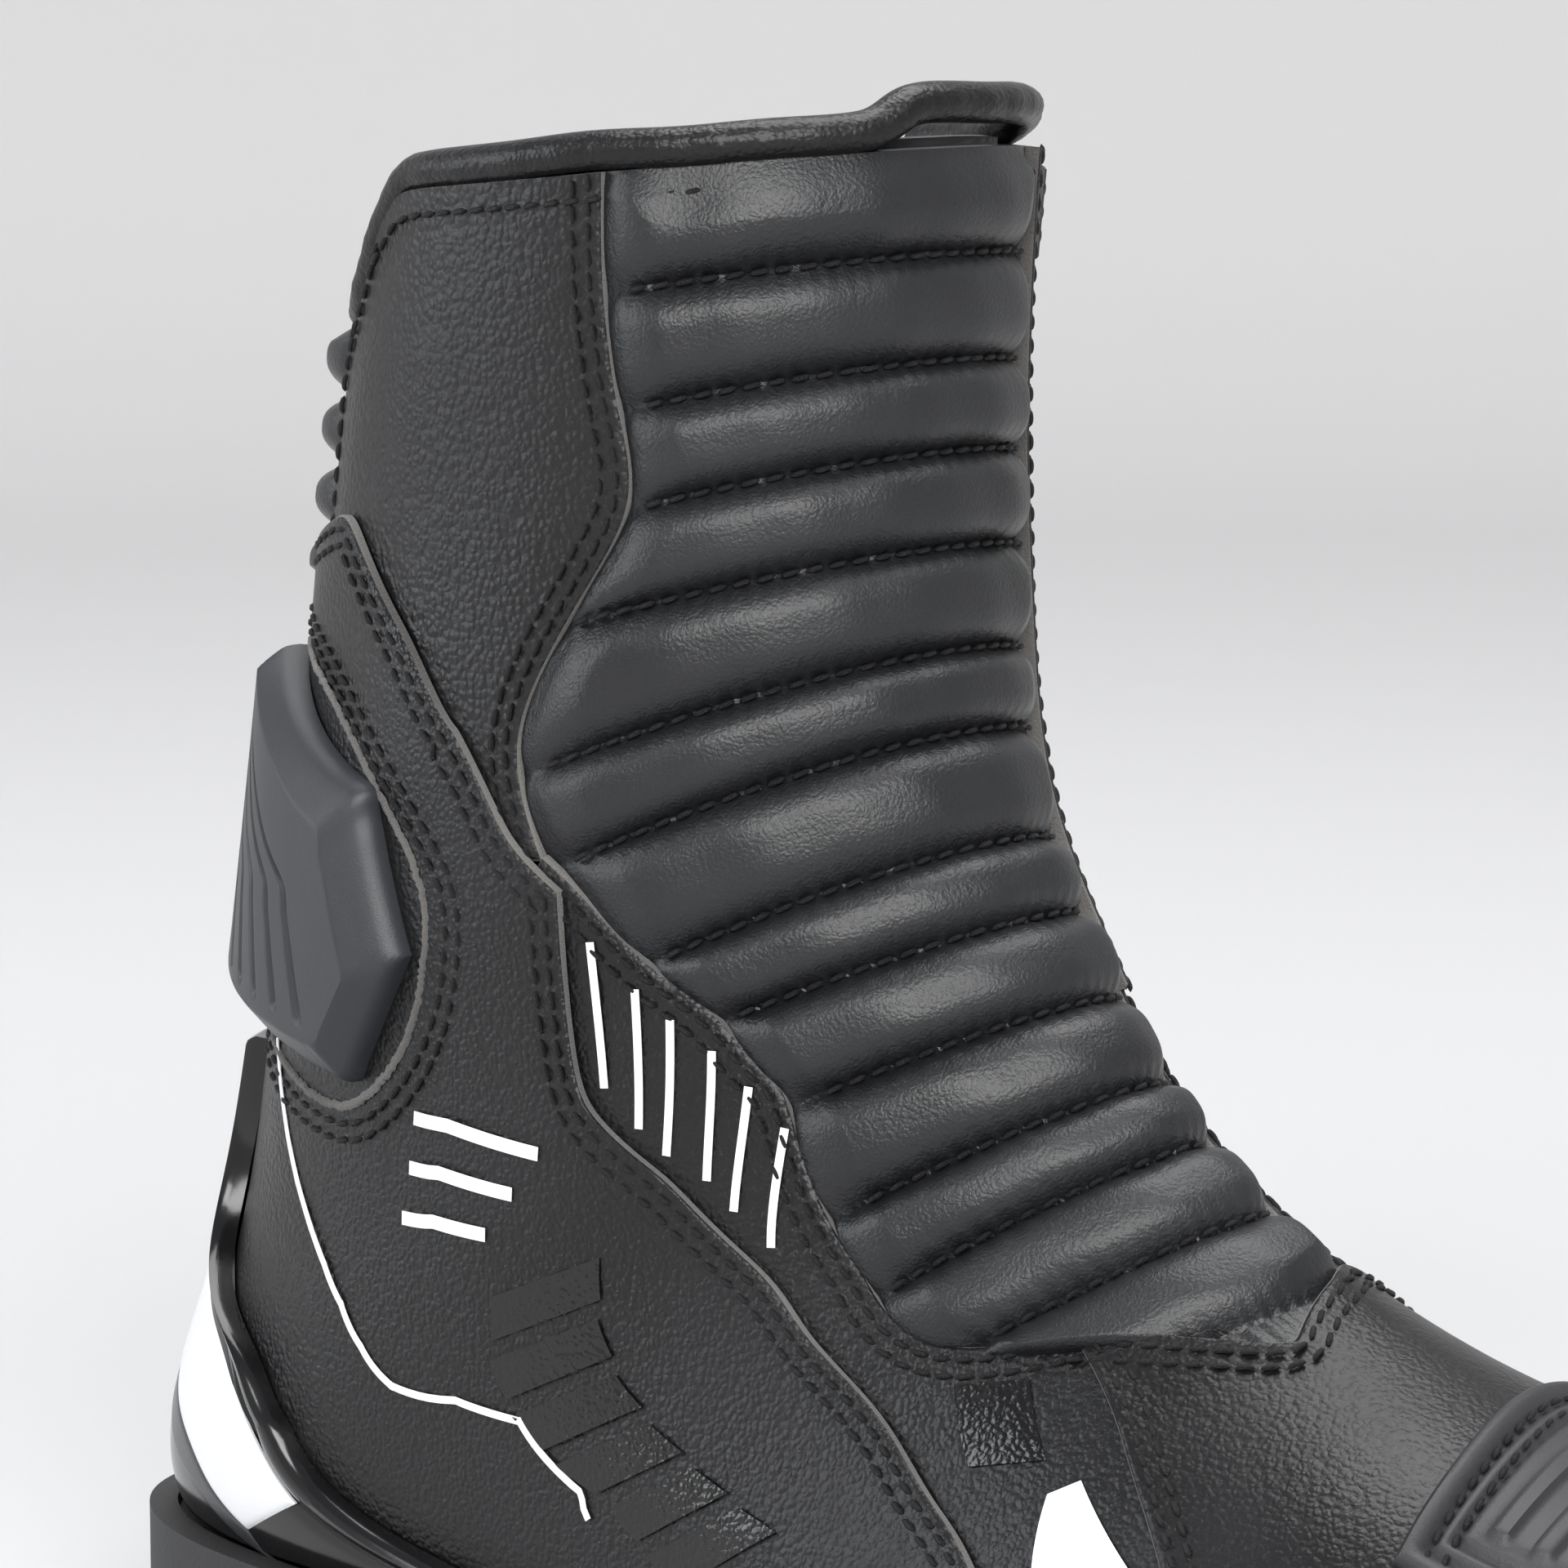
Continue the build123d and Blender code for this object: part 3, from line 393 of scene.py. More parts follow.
def path_on(points, step, offset, inset=0.0):
    """Even steps along a line over the last, moved sideways by inset: points, forward, normal."""
    fine = resample(points, np.linspace(0, 1, 400))
    ds = surface(fine[:, 0] + 0.02, fine[:, 1], np.zeros(400)) - surface(
        fine[:, 0] - 0.02, fine[:, 1], np.zeros(400))
    da = surface(fine[:, 0], fine[:, 1] + 0.5, np.zeros(400)) - surface(
        fine[:, 0], fine[:, 1] - 0.5, np.zeros(400))
    ds /= 0.04
    spots = surface(fine[:, 0], fine[:, 1], np.zeros(400))
    ahead = np.gradient(spots, axis=0)
    ahead /= np.linalg.norm(ahead, axis=1, keepdims=True)
    normal = outward(fine[:, 0], fine[:, 1])
    side = np.cross(normal, ahead) * inset
    moved = fine.copy()
    for k in range(len(fine)):
        system = np.stack([ds[k], da[k]], 1)
        moved[k] += np.linalg.lstsq(system, side[k], rcond=None)[0]
    spots = surface(moved[:, 0], moved[:, 1], np.zeros(400))
    travelled = np.concatenate([[0], np.cumsum(np.linalg.norm(np.diff(spots, axis=0), axis=1))])
    even = np.arange(0.5 * step, travelled[-1], step)
    params = np.stack([np.interp(even, travelled, moved[:, k]) for k in range(2)], 1)
    heights = offset(params) if callable(offset) else np.full(len(params), offset)
    centre = surface(params[:, 0], params[:, 1], heights)
    ahead = np.stack([np.interp(even, travelled, np.gradient(spots[:, k])) for k in range(3)], 1)
    ahead /= np.linalg.norm(ahead, axis=1, keepdims=True)
    return centre, ahead, outward(params[:, 0], params[:, 1]), params


def thread_template():
    """One stitch: a short arched strand, a unit long."""
    rings, sides = 7, 6
    points, faces = [], []
    for i in range(rings):
        t = -0.5 + i / (rings - 1)
        thick = max(0.12, (1 - (2 * abs(t)) ** 4) ** 0.5)
        for j in range(sides):
            turn = 2 * math.pi * j / sides
            points.append((t, math.cos(turn) * thick, math.sin(turn) * thick, 1 - (2 * t) ** 2))
    for i in range(rings - 1):
        for j in range(sides):
            a, b = i * sides + j, i * sides + (j + 1) % sides
            faces.append((a, b, b + sides, a + sides))
    faces.append(tuple(range(sides))[::-1])
    faces.append(tuple(range((rings - 1) * sides, rings * sides)))
    return np.array(points), faces


TEMPLATE, TEMPLATE_FACES = thread_template()


def stitching(name, lines, radius=0.42, body=None):
    """All the lockstitches along some lines, each (points, height, inset)."""
    points, faces = [], []
    for line in lines:
        centre, ahead, normal, _ = path_on(line[0], STITCH, line[1], line[2])
        side = np.cross(normal, ahead)
        for k in range(len(centre)):
            tilt = ahead[k] + side[k] * 0.10
            strand = (centre[k] + TEMPLATE[:, :1] * tilt * STITCH * 0.80
                      + TEMPLATE[:, 1:2] * side[k] * radius
                      + (TEMPLATE[:, 2:3] * radius + TEMPLATE[:, 3:4] * 0.28 - 0.12) * normal[k])
            base = len(points) * len(TEMPLATE)
            points.append(strand)
            faces += [tuple(base + index for index in face) for face in TEMPLATE_FACES]
    piece = new_piece(name, np.concatenate(points), faces, [THREAD], sharp=80)
    return finish_piece(piece, body)


def ribbon(name, points, width, height, material, thick=0.12):
    """A thin printed line over the last, with square corners where its points turn."""
    points = [np.array(point, float) for point in points]
    cells, faces = [], []
    for a, b in zip(points, points[1:]):
        steps = np.linspace(0, 1, 14)[:, None]
        line = a + (b - a) * steps
        spots = surface(line[:, 0], line[:, 1], np.full(14, height))
        normal = outward(line[:, 0], line[:, 1])
        ahead = np.gradient(spots, axis=0)
        ahead /= np.linalg.norm(ahead, axis=1, keepdims=True)
        side = np.cross(normal, ahead) * 0.5 * width
        spots[0] -= ahead[0] * 0.35 * width
        spots[-1] += ahead[-1] * 0.35 * width
        base = len(cells)
        for k in range(14):
            cells += [spots[k] - side[k], spots[k] + side[k],
                      spots[k] - side[k] - normal[k] * thick,
                      spots[k] + side[k] - normal[k] * thick]
        for k in range(13):
            i, j = base + 4 * k, base + 4 * k + 4
            faces += [(i, i + 1, j + 1, j), (i + 2, j + 2, j + 3, i + 3),
                      (i, j, j + 2, i + 2), (i + 1, i + 3, j + 3, j + 1)]
        faces += [(base, base + 2, base + 3, base + 1)]
        end = base + 4 * 13
        faces += [(end, end + 1, end + 3, end + 2)]
    return finish_piece(new_piece(name, cells, faces, [material]))


def print_patch(name, corners, height, material):
    """A thin printed four-sided shape: corners run round it."""
    a, b, c, d = corners
    even = np.linspace(0, 1, 16)
    grid = patch([a, b], [d, c], [a, d], [b, c], even, even)
    return finish_piece(shell(name, grid, height - 0.1, height, [material]))


def mirrored(points):
    return [(station, -angle) for station, angle in points]


def straight(points, count=9):
    """Points so close that a smooth curve through them keeps straight sides and corners."""
    dense = []
    for a, b in zip(points, points[1:]):
        for share in np.linspace(0, 1, count)[:-1]:
            dense.append((a[0] + (b[0] - a[0]) * share, a[1] + (b[1] - a[1]) * share))
    return dense + [points[-1]]


def rim(angle):
    """How many stations the collar's edge dips, at the back of the leg."""
    away = np.abs((np.asarray(angle, float) + 180) % 360 - 180)
    share = np.clip((away - 110) / 32, 0, 1)
    return 0.62 * share * share * (3 - 2 * share)


def station_at(angle, height, offset):
    """Where a line down the heel comes to a height over the ground."""
    low, high = 5.0, 7.5
    for _ in range(30):
        middle = 0.5 * (low + high)
        if surface(middle, angle, np.array(offset))[2] > height:
            low = middle
        else:
            high = middle
    return low


# ---------- outlines ----------
TOP = 0.07
FEATHER = 138.0
shaft_front = [(TOP, 70), (0.6, 68), (0.95, 66), (1.25, 64), (1.7, 62), (2.1, 68), (2.5, 76),
               (2.85, 80), (3.2, 79), (3.55, 76)]
shaft_rear = [(TOP + 0.19, 122), (0.52, 127), (0.83, 136), (1.1, 138), (1.5, 137), (1.95, 136)]
shaft_bottom = [(3.55, 76), (3.35, 86), (2.9, 95), (2.6, 104), (2.1, 114), (2.0, 124), (1.95, 136)]
stripe_front = [(3.52, 76), (3.8, 70), (4.25, 62), (4.6, 55), (5.0, 50), (5.3, 48), (6.1, 48),
                (6.5, 49), (7.0, 49), (7.3, 38)]
vamp_seam = [(7.3, 38), (7.6, 40), (8.0, 44), (8.35, 49), (8.7, 55), (9.1, 64), (9.6, 80),
             (10.0, 105), (10.1, FEATHER)]
vamp_medial = [(7.6, -7), (7.8, -24), (8.2, -40), (8.8, -57), (9.5, -78), (10.0, -105),
               (10.1, -FEATHER)]
vamp_top = [(7.3, 38), (7.62, 31), (8.02, 22), (8.02, 17), (7.8, 8), (7.6, -7)]
quarter_top = [(1.6, 180), (1.6, 150), (1.6, 139), (1.55, 124), (1.63, 115), (2.0, 104),
               (2.4, 95), (3.05, 85), (3.4, 80), (3.73, 73)]
quarter_front = [(3.73, 73), (4.2, 73), (4.7, 72), (5.0, 69), (5.3, 64), (5.6, 60), (6.15, 56),
                 (6.65, 57), (7.3, 60), (7.9, 66), (8.35, 72), (8.9, 84), (9.3, 100),
                 (9.45, FEATHER)]
quarter_foot = [(6.0, 180), (6.25, 160), (6.5, 146), (7.05, FEATHER), (8.2, FEATHER),
                (9.45, FEATHER)]
quilt_medial = [(TOP, -27), (0.73, -29), (1.25, -30), (2.2, -29), (3.2, -26), (4.2, -21),
                (5.15, -16), (6.1, -12), (7.0, -9.5), (7.6, -7)]


def turned(points, angle):
    return [(s, a + angle) for s, a in points]


# ---------- front quilt ----------
CENTRE_ROWS = np.array([0.0, 0.62, 1.2, 1.72, 2.3, 2.95, 3.45, 4.13, 4.62, 5.2, 5.83, 6.33,
                        6.98, 7.75])
SIDE_ROWS = np.array([0.0, 0.66, 1.26, 1.78, 2.32, 3.02, 3.55, 4.25, 4.7, 5.32, 6.1, 6.68,
                      7.2, 7.75])


def row_stations(angle):
    share = np.clip(np.abs(angle) / 60.0, 0, 1.3)[..., None] ** 2
    return CENTRE_ROWS + (SIDE_ROWS - CENTRE_ROWS) * share


def channels(station, angle):
    """Height of the padded channels, 0 at the stitch rows and 1 between them."""
    rows = row_stations(angle)
    index = np.clip((station[..., None] >= rows).sum(-1) - 1, 0, len(CENTRE_ROWS) - 2)
    low = np.take_along_axis(rows, index[..., None], -1)[..., 0]
    high = np.take_along_axis(rows, index[..., None] + 1, -1)[..., 0]
    t = np.clip((station - low) / (high - low), 0, 1)
    near = np.minimum(t, 1 - t) * (high - low) * 24
    pucker = 0.045 * np.exp(-(near / 2.2) ** 2) * np.sin(angle * 2 * math.pi / STITCH * 1.02)
    return 1 - np.abs(2 * t - 1) ** 2.9 + pucker


def quilt_relief(grid, across, down, width, height):
    s, a = grid[..., 0], grid[..., 1]
    side = np.minimum(across, width - across)[None, :]
    foot = np.minimum(down + 3, height - down)[:, None]
    ease = np.clip((np.minimum(side, foot) - 2.6) / 7.0, 0, 1) ** 0.5
    dent = -1.6 * np.exp(-((s - 0.22) / 0.16) ** 2 - ((a - 52) / 8) ** 2)
    crease = 0.22 * np.sin(a * 0.35 + 3 * s) * np.sin(1.1 * s + 0.08 * a)
    return -0.7 + ease * (QUILT_PUFF + 0.9) * channels(s, a) + dent * ease + crease * ease


def front_flex():
    under = 3.0
    lateral = [(s, a + under) for s, a in shaft_front[:-1]] + [
        (s, a + under) for s, a in stripe_front[1:]]
    medial = [(s, a - under) for s, a in quilt_medial]
    lateral[-1] = (7.42, 41)
    medial[-1] = (7.72, -10)
    bottom = [(7.42, 41), (7.74, 32), (8.14, 22), (8.14, 17), (7.92, 8), (7.72, -10)]
    top = [lateral[0], (TOP, 20), medial[0]]
    piece = sheet("front_quilt", top, bottom, lateral, medial, QUILT_IN, SKIN_IN + 0.5,
                  [QUILTED], (110, 330), (False, False, False, False), quilt_relief)
    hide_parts("front_flex_panel", "front_flex_foam")
    finish_piece(piece)
    lines = []
    for k in range(1, len(CENTRE_ROWS) - 1):
        angles = np.linspace(80, -36, 30)
        rows = row_stations(angles)[:, k]
        left = np.interp(rows, *zip(*shaft_front[:9], *stripe_front[1:]))
        right = np.interp(rows, *zip(*quilt_medial))
        keep = (angles < left - 0.5) & (angles > right + 0.5)
        floor = np.interp(angles, [-7, 8, 17, 22, 31, 38], [7.6, 7.8, 8.02, 8.02, 7.62, 7.3])
        keep &= rows < floor - 0.05
        line = [(r, a) for r, a, good in zip(rows, angles, keep) if good]
        if len(line) > 3:
            lines.append((line, SKIN_IN + 0.85, 0.0))
    stitching("quilt_stitching", lines)


def rear_flex():
    rows = np.array([0.66, 0.98, 1.28, 1.58, 1.85])

    def relief(grid, across, down, width, height):
        s = grid[..., 0]
        index = np.clip(np.searchsorted(rows, s) - 1, 0, len(rows) - 2)
        t = np.clip((s - rows[index]) / (rows[index + 1] - rows[index]), 0, 1)
        side = np.minimum(across, width - across)[None, :]
        ease = np.clip((side - 2.6) / 7, 0, 1) ** 0.5
        return -0.7 + ease * (QUILT_PUFF + 1.8) * (1 - np.abs(2 * t - 1) ** 2.6)

    lateral = turned([(0.62, 130), (0.83, 136), (1.1, 138), (1.5, 137)], -3) + [(1.85, 133)]
    medial = [(s, 360 - a) for s, a in lateral]
    crest = TOP + 0.62
    piece = sheet("rear_quilt", [lateral[0], (crest, 145), (crest, 180), (crest, 215), medial[0]],
                  [lateral[-1], (1.85, 180), medial[-1]], lateral, medial, QUILT_IN,
                  SKIN_IN + 0.5, [QUILTED], (90, 120), (False, False, False, False), relief)
    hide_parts("rear_flex_panel", "rear_flex_foam")
    finish_piece(piece)
    stitching("rear_quilt_stitching", [([(r, 134), (r, 180), (r, 226)], SKIN_IN + 0.3, 0.0)
                                       for r in rows[1:-1]])


# ---------- leather panels ----------
def double_row(points, height, first=2.0):
    return [(points, height, first), (points, height, first + ROW_GAP)]


def shaft_panels():
    panel = sheet("shaft_panel_lateral", [shaft_front[0], (TOP, 90), (TOP, 108),
                                           (TOP + 0.05, 115), shaft_rear[0]], shaft_bottom,
                  shaft_front, shaft_rear, SKIN_IN, SKIN_OUT, [PEBBLED, SUEDE], (50, 80),
                  (False, True, True, True), gentle)
    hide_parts("lateral_shaft_panel")
    finish_piece(panel)

    def lifted(grid, across, down, width, height):
        return gentle(grid) + 1.3 * np.exp(-across / 7)[None, :]

    medial = sheet("shaft_panel_medial_front", [quilt_medial[0], (TOP, -82.5)],
                   [quilt_medial[6], (5.1, -50), (4.95, -82.5)], quilt_medial[:7],
                   [(TOP, -82.5), (2.5, -82.5), (4.95, -82.5)], SKIN_IN, SKIN_OUT,
                   [PEBBLED, SUEDE], (50, 90), (False, True, True, True), lifted)
    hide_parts("medial_front_panel")
    finish_piece(medial)
    rear_edge = mirrored(shaft_rear)
    top = [(TOP, -97.5), (TOP, -108), (TOP + 0.05, -115), rear_edge[0]]
    rear = sheet("shaft_panel_medial_rear", top, [(1.95, -97.5), (1.95, -136)],
                 [(TOP, -97.5), (1.95, -97.5)], rear_edge, SKIN_IN, SKIN_OUT,
                 [PEBBLED, SUEDE], (36, 50), (False, True, True, True), gentle)
    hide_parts("medial_rear_panel")
    finish_piece(rear)
    height = SKIN_OUT + THREAD_LIFT
    lines = double_row(shaft_front[::-1], height)
    lines += [(shaft_rear, height, 2.0)]
    lines += [([(TOP, -82.5), (2.5, -82.5), (4.9, -82.5)], height, -1.6)]
    lines += [([(1.95, -97.5), (TOP, -97.5)], height, -1.6)]
    lines += [(quilt_medial[:7], height + 0.8, 2.0),
              (quilt_medial[:7], height + 0.55, 2.0 + ROW_GAP)]
    lines += [([(0.2, 69), (0.2, 90), (0.2, 108), (0.27, 115), (0.42, 121.5)], height, 0.0)]
    lines += [([(0.2, -26), (0.2, -56), (0.2, -81)], height, 0.0)]
    lines += [([(0.2, -99), (0.2, -108), (0.27, -115), (0.42, -121.5)], height, 0.0)]
    stitching("shaft_stitching", lines)


def quarters():
    lateral = sheet("quarter_lateral", quarter_top, quarter_foot,
                    [(1.6, 180), (3, 180), (4.5, 180), (6.0, 180)], quarter_front,
                    OVER_IN, OVER_OUT, [FINE, SUEDE], (130, 130), (True, False, False, True),
                    gentle)
    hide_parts("lateral_quarter", "lateral_ankle_foam")
    finish_piece(lateral)
    top = mirrored([(1.6, 180), (1.6, 150), (1.6, 139), (1.55, 124), (1.62, 110), (1.7, 100)])
    front = [(1.7, -100), (3.0, -99.5), (4.9, -99.5), (5.6, -103), (6.4, -116), (7.05, -FEATHER)]
    heel = sheet("quarter_heel_medial", top, mirrored(quarter_foot[:4]),
                 mirrored([(1.6, 180), (3, 180), (4.5, 180), (6.0, 180)]), front,
                 OVER_IN, OVER_OUT, [FINE, SUEDE], (80, 100), (True, False, False, True), gentle)
    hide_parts("medial_heel_quarter", "medial_ankle_foam")
    finish_piece(heel)
    arch_rear = [(5.08, -97), (5.66, -101.5), (6.46, -114), (7.12, -FEATHER)]
    arch_front = [(5.3, -62), (6.0, -57), (6.65, -57), (7.3, -60), (8.35, -72), (8.9, -84),
                  (9.3, -100), (9.4, -FEATHER)]
    arch = sheet("quarter_arch_medial", [(5.08, -97), (5.08, -84), (5.3, -62)],
                 [(7.12, -FEATHER), (9.4, -FEATHER)], arch_rear, arch_front,
                 OVER_IN, OVER_OUT, [FINE, SUEDE], (60, 80), (True, False, True, True), gentle)
    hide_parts("medial_arch_quarter")
    finish_piece(arch)
    height = OVER_OUT + THREAD_LIFT
    lines = double_row(quarter_top[::-1], height)
    lines += double_row(quarter_front, height, -2.0 - ROW_GAP)
    lines += double_row(top, height) + double_row(front, height)
    lines += double_row(arch_front, height, 2.0)
    lines += [([(5.08, -96), (5.08, -84), (5.3, -63)], height, 2.0)]
    lines += [([(1.7, -179), (3, -179), (3.7, -179)], height, -1.5),
              ([(1.7, 181), (3, 181), (3.7, 181)], height, -1.5)]
    stitching("quarter_stitching", lines)


def forefoot():
    under = [(3.52, 76), (4.0, 82), (4.6, 82), (5.1, 78), (5.7, 69), (6.2, 65), (6.7, 66),
             (7.3, 70), (8.0, 80), (8.6, 100), (8.9, FEATHER)]
    lateral = sheet("forefoot_lateral", stripe_front, [(8.9, FEATHER), (10.1, FEATHER)], under,
                    vamp_seam, SKIN_IN, SKIN_OUT, [FINE, SUEDE], (60, 100),
                    (True, False, False, False), gentle)
    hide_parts("lateral_forefoot_panel")
    finish_piece(lateral)
    edge = [(5.15, -16), (6.1, -12), (7.0, -9.5), (7.6, -7)]
    inner = [(5.15, -16), (5.25, -62), (6.2, -66), (7.3, -70), (8.0, -80), (8.6, -100),
             (8.9, -FEATHER)]
    medial = sheet("forefoot_medial", edge, [(8.9, -FEATHER), (10.1, -FEATHER)], inner,
                   vamp_medial, SKIN_IN, SKIN_OUT, [SMOOTH, SUEDE], (60, 90),
                   (True, False, False, False), gentle)
    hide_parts("medial_forefoot_panel")
    finish_piece(medial)
    height = SKIN_OUT + THREAD_LIFT
    lines = double_row(stripe_front[::-1], height) + double_row(edge, height)
    stitching("forefoot_stitching", lines)


def vamp_and_toe():
    def raised(grid, across, down, width, height):
        side = np.minimum(across, width - across)[None, :]
        return gentle(grid) + 0.9 * np.exp(-np.minimum(side, down[:, None]) / 6)

    upper = sheet("vamp_leather", vamp_top, [(10.1, FEATHER), (10.1, 0), (10.1, -FEATHER)],
                  vamp_seam, vamp_medial, SKIN_IN, SKIN_OUT + 0.25, [SMOOTH, SUEDE], (110, 70),
                  (True, False, True, True), raised)
    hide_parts("vamp")
    finish_piece(upper)
    even_u, even_v = np.linspace(0, 1, 90), np.linspace(0, 1, 60)
    rear = [(10.0, FEATHER), (10.0, -FEATHER)]
    tip = [(LAST_STATION, FEATHER), (LAST_STATION, -FEATHER)]
    grid = patch(rear, tip, [rear[0], tip[0]], [rear[1], tip[1]], even_u, even_v)
    toe = shell("toe_leather", grid, SKIN_IN, SKIN_OUT + 0.2, [SMOOTH])
    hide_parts("toe_cap")
    finish_piece(toe, "foot")
    height = SKIN_OUT + 0.35
    lines = []
    for points, away in ((vamp_top, -1), (vamp_seam, 1), (vamp_medial, -1)):
        lines += [(points, height + 0.6, 2.0 * away),
                  (points, height + 0.4, (2.0 + ROW_GAP) * away)]
    lines += double_row([(10.25, 132), (10.3, 90), (10.35, 50)], height, 0.0)
    lines += double_row([(10.25, -132), (10.3, -90), (10.35, -40)], height, 0.0)
    stitching("vamp_stitching", lines)


# ---------- moulded parts ----------
def shift_pad():
    rear = [(9.75, 44), (9.45, 24), (9.25, 10), (9.15, -2), (9.2, -16), (9.45, -30)]
    front = [(11.75, 40), (11.95, 12), (11.9, -14), (11.6, -30)]

    def relief(grid, across, down, width, height):
        near = np.minimum(np.minimum(across, width - across)[None, :],
                          np.minimum(down, height - down)[:, None])
        lip = 0.8 * np.exp(-((near - 1.6) / 1.2) ** 2)
        grooves = sum(-0.8 * np.exp(-((near - at) / 0.7) ** 2) for at in (4.2, 7.0))
        inside = np.clip((near - 9.0) / 1.5, 0, 1)
        ribs = inside * 0.9 * np.clip(np.cos(down * 2 * math.pi / 6.0), -0.2, 0.6)[:, None]
        return lip + grooves + ribs + inside * 0.5

    pad = sheet("shift_pad_rubber", rear, front, [(9.75, 44), (10.8, 47), (11.75, 40)],
                [(9.45, -30), (10.6, -36), (11.6, -30)], OVER_IN - 0.2, OVER_IN + 1.8, [MOULDED],
                (110, 110), relief=relief)
    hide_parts("shift_pad")
    finish_piece(pad, "foot")
    stitching("shift_pad_stitching", double_row(rear, OVER_IN + 1.5, -4.0 - ROW_GAP),
              body="foot")


def heel_cup():
    floor = [(station_at(angle, 24.4, CUP_IN), angle) for angle in np.linspace(109, 251, 25)]
    edge = [(3.9, 150), (4.3, 149), (4.6, 145.5), (4.85, 139), (5.1, 129.5), (5.35, 119.5),
            (5.6, 112.5), (5.85, 108.8), (6.2, 107.5), floor[0]]
    other = [(s, 360 - a) for s, a in edge]

    def relief(grid, across, down, width, height):
        near = np.minimum(np.minimum(across, width - across)[None, :], (down + 0.5)[:, None])
        return 1.3 * np.exp(-((near - 1.3) / 1.5) ** 2) - 0.7 * np.exp(-((near - 4.3) / 0.9) ** 2)

    cup = sheet("heel_cup_shell", [edge[0], (3.82, 180), other[0]], floor, edge, other,
                CUP_IN, CUP_OUT, [GLOSSY], (110, 100), relief=relief)
    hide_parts("heel_cup")
    finish_piece(cup)
    side = [(6.3, 112.5), (5.93, 112.5), (5.55, 118), (5.3, 125.5), (5.08, 135), (4.85, 144),
            (4.6, 150), (4.35, 156), (4.18, 168)]
    low = [(6.28, 126), (5.9, 128), (5.65, 134), (5.42, 142), (5.2, 149.5), (5.0, 156),
           (4.8, 163), (4.68, 172)]
    outer = side + [(4.12, 180)] + [(s, 360 - a) for s, a in side[::-1]]
    inner = low + [(4.6, 180)] + [(s, 360 - a) for s, a in low[::-1]]
    band = sheet("heel_reflector", outer, inner, [outer[0], inner[0]], [outer[-1], inner[-1]],
                 CUP_OUT - 0.4, CUP_OUT + 0.35, [REFLECTIVE], (110, 10))
    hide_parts("heel_band")
    finish_piece(band)
    lower = [(s + 0.16, 180 + (a - 180) * 0.93) for s, a in inner]
    grey = sheet("heel_grey_band", [(s + 0.03, 180 + (a - 180) * 0.99) for s, a in inner], lower,
                 [inner[0], lower[0]], [inner[-1], lower[-1]], CUP_OUT - 0.4, CUP_OUT + 0.2,
                 [GREY_FILM], (90, 6))
    finish_piece(grey)


def ankle_protector():
    front = straight([(2.1, 141), (2.9, 102), (3.8, 94.5)])
    bottom = straight([(3.8, 94.5), (4.32, 103), (4.1, 114), (3.5, 149)])
    rear = straight([(2.2, 152), (2.8, 154), (3.5, 149)])
    top = [(2.1, 141), (2.2, 152)]

    def relief(grid, across, down, width, height):
        x = across[None, :] * np.ones((len(down), 1))
        near = np.minimum(np.minimum(across, width - across)[None, :],
                          np.minimum(down, height - down)[:, None])
        rise = np.clip(near / 4.2, 0, 1) * 4.4
        grooves = np.zeros_like(x)
        for k in range(6):
            centre = width * (0.30 + 0.105 * k)
            inside = np.clip((np.minimum(down, height - down) - 6.0) / 1.0, 0, 1)[:, None]
            grooves -= 0.9 * np.clip(1 - np.abs(x - centre) / 0.7, 0, 1) * inside
        return rise + grooves

    shield = sheet("ankle_shield", top, bottom, front, rear, OVER_OUT,
                   OVER_OUT + PROTECTOR_THICK, [SHIELD], (150, 90), relief=relief)
    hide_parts("ankle_protector_shell", "ankle_protector_pad")
    finish_piece(shield)
    ring = [(1.95, 141), (2.3, 117), (2.92, 99), (3.45, 90.5), (3.9, 89.5), (4.35, 93), (4.55, 101),
            (4.45, 111), (4.12, 128), (3.85, 142)]
    stitching("window_stitching", double_row(ring, OVER_OUT + THREAD_LIFT, -1.0))
    fringe = [(s + (3.2 - s) * 0.10, a + (121 - a) * 0.10) for s, a in ring]
    centre, ahead, normal, _ = path_on(fringe, 0.5, OVER_OUT + 0.05, 0.0)
    points, faces = [], []
    for k in range(len(centre)):
        side = np.cross(normal[k], ahead[k])
        jag = 0.35 * random.standard_normal()
        for j in range(6):
            turn = 2 * math.pi * j / 6
            points.append(centre[k] + side * (0.7 * math.cos(turn) + jag * 0.4)
                          + normal[k] * (0.45 * math.sin(turn) + 0.2 * abs(jag)))
    for k in range(len(centre) - 1):
        for j in range(6):
            a, b = 6 * k + j, 6 * k + (j + 1) % 6
            faces.append((a, b, b + 6, a + 6))
    faces += [tuple(range(6))[::-1], tuple(range(6 * len(centre) - 6, 6 * len(centre)))]
    finish_piece(new_piece("window_raw_edge", points, faces, [SUEDE], sharp=80))


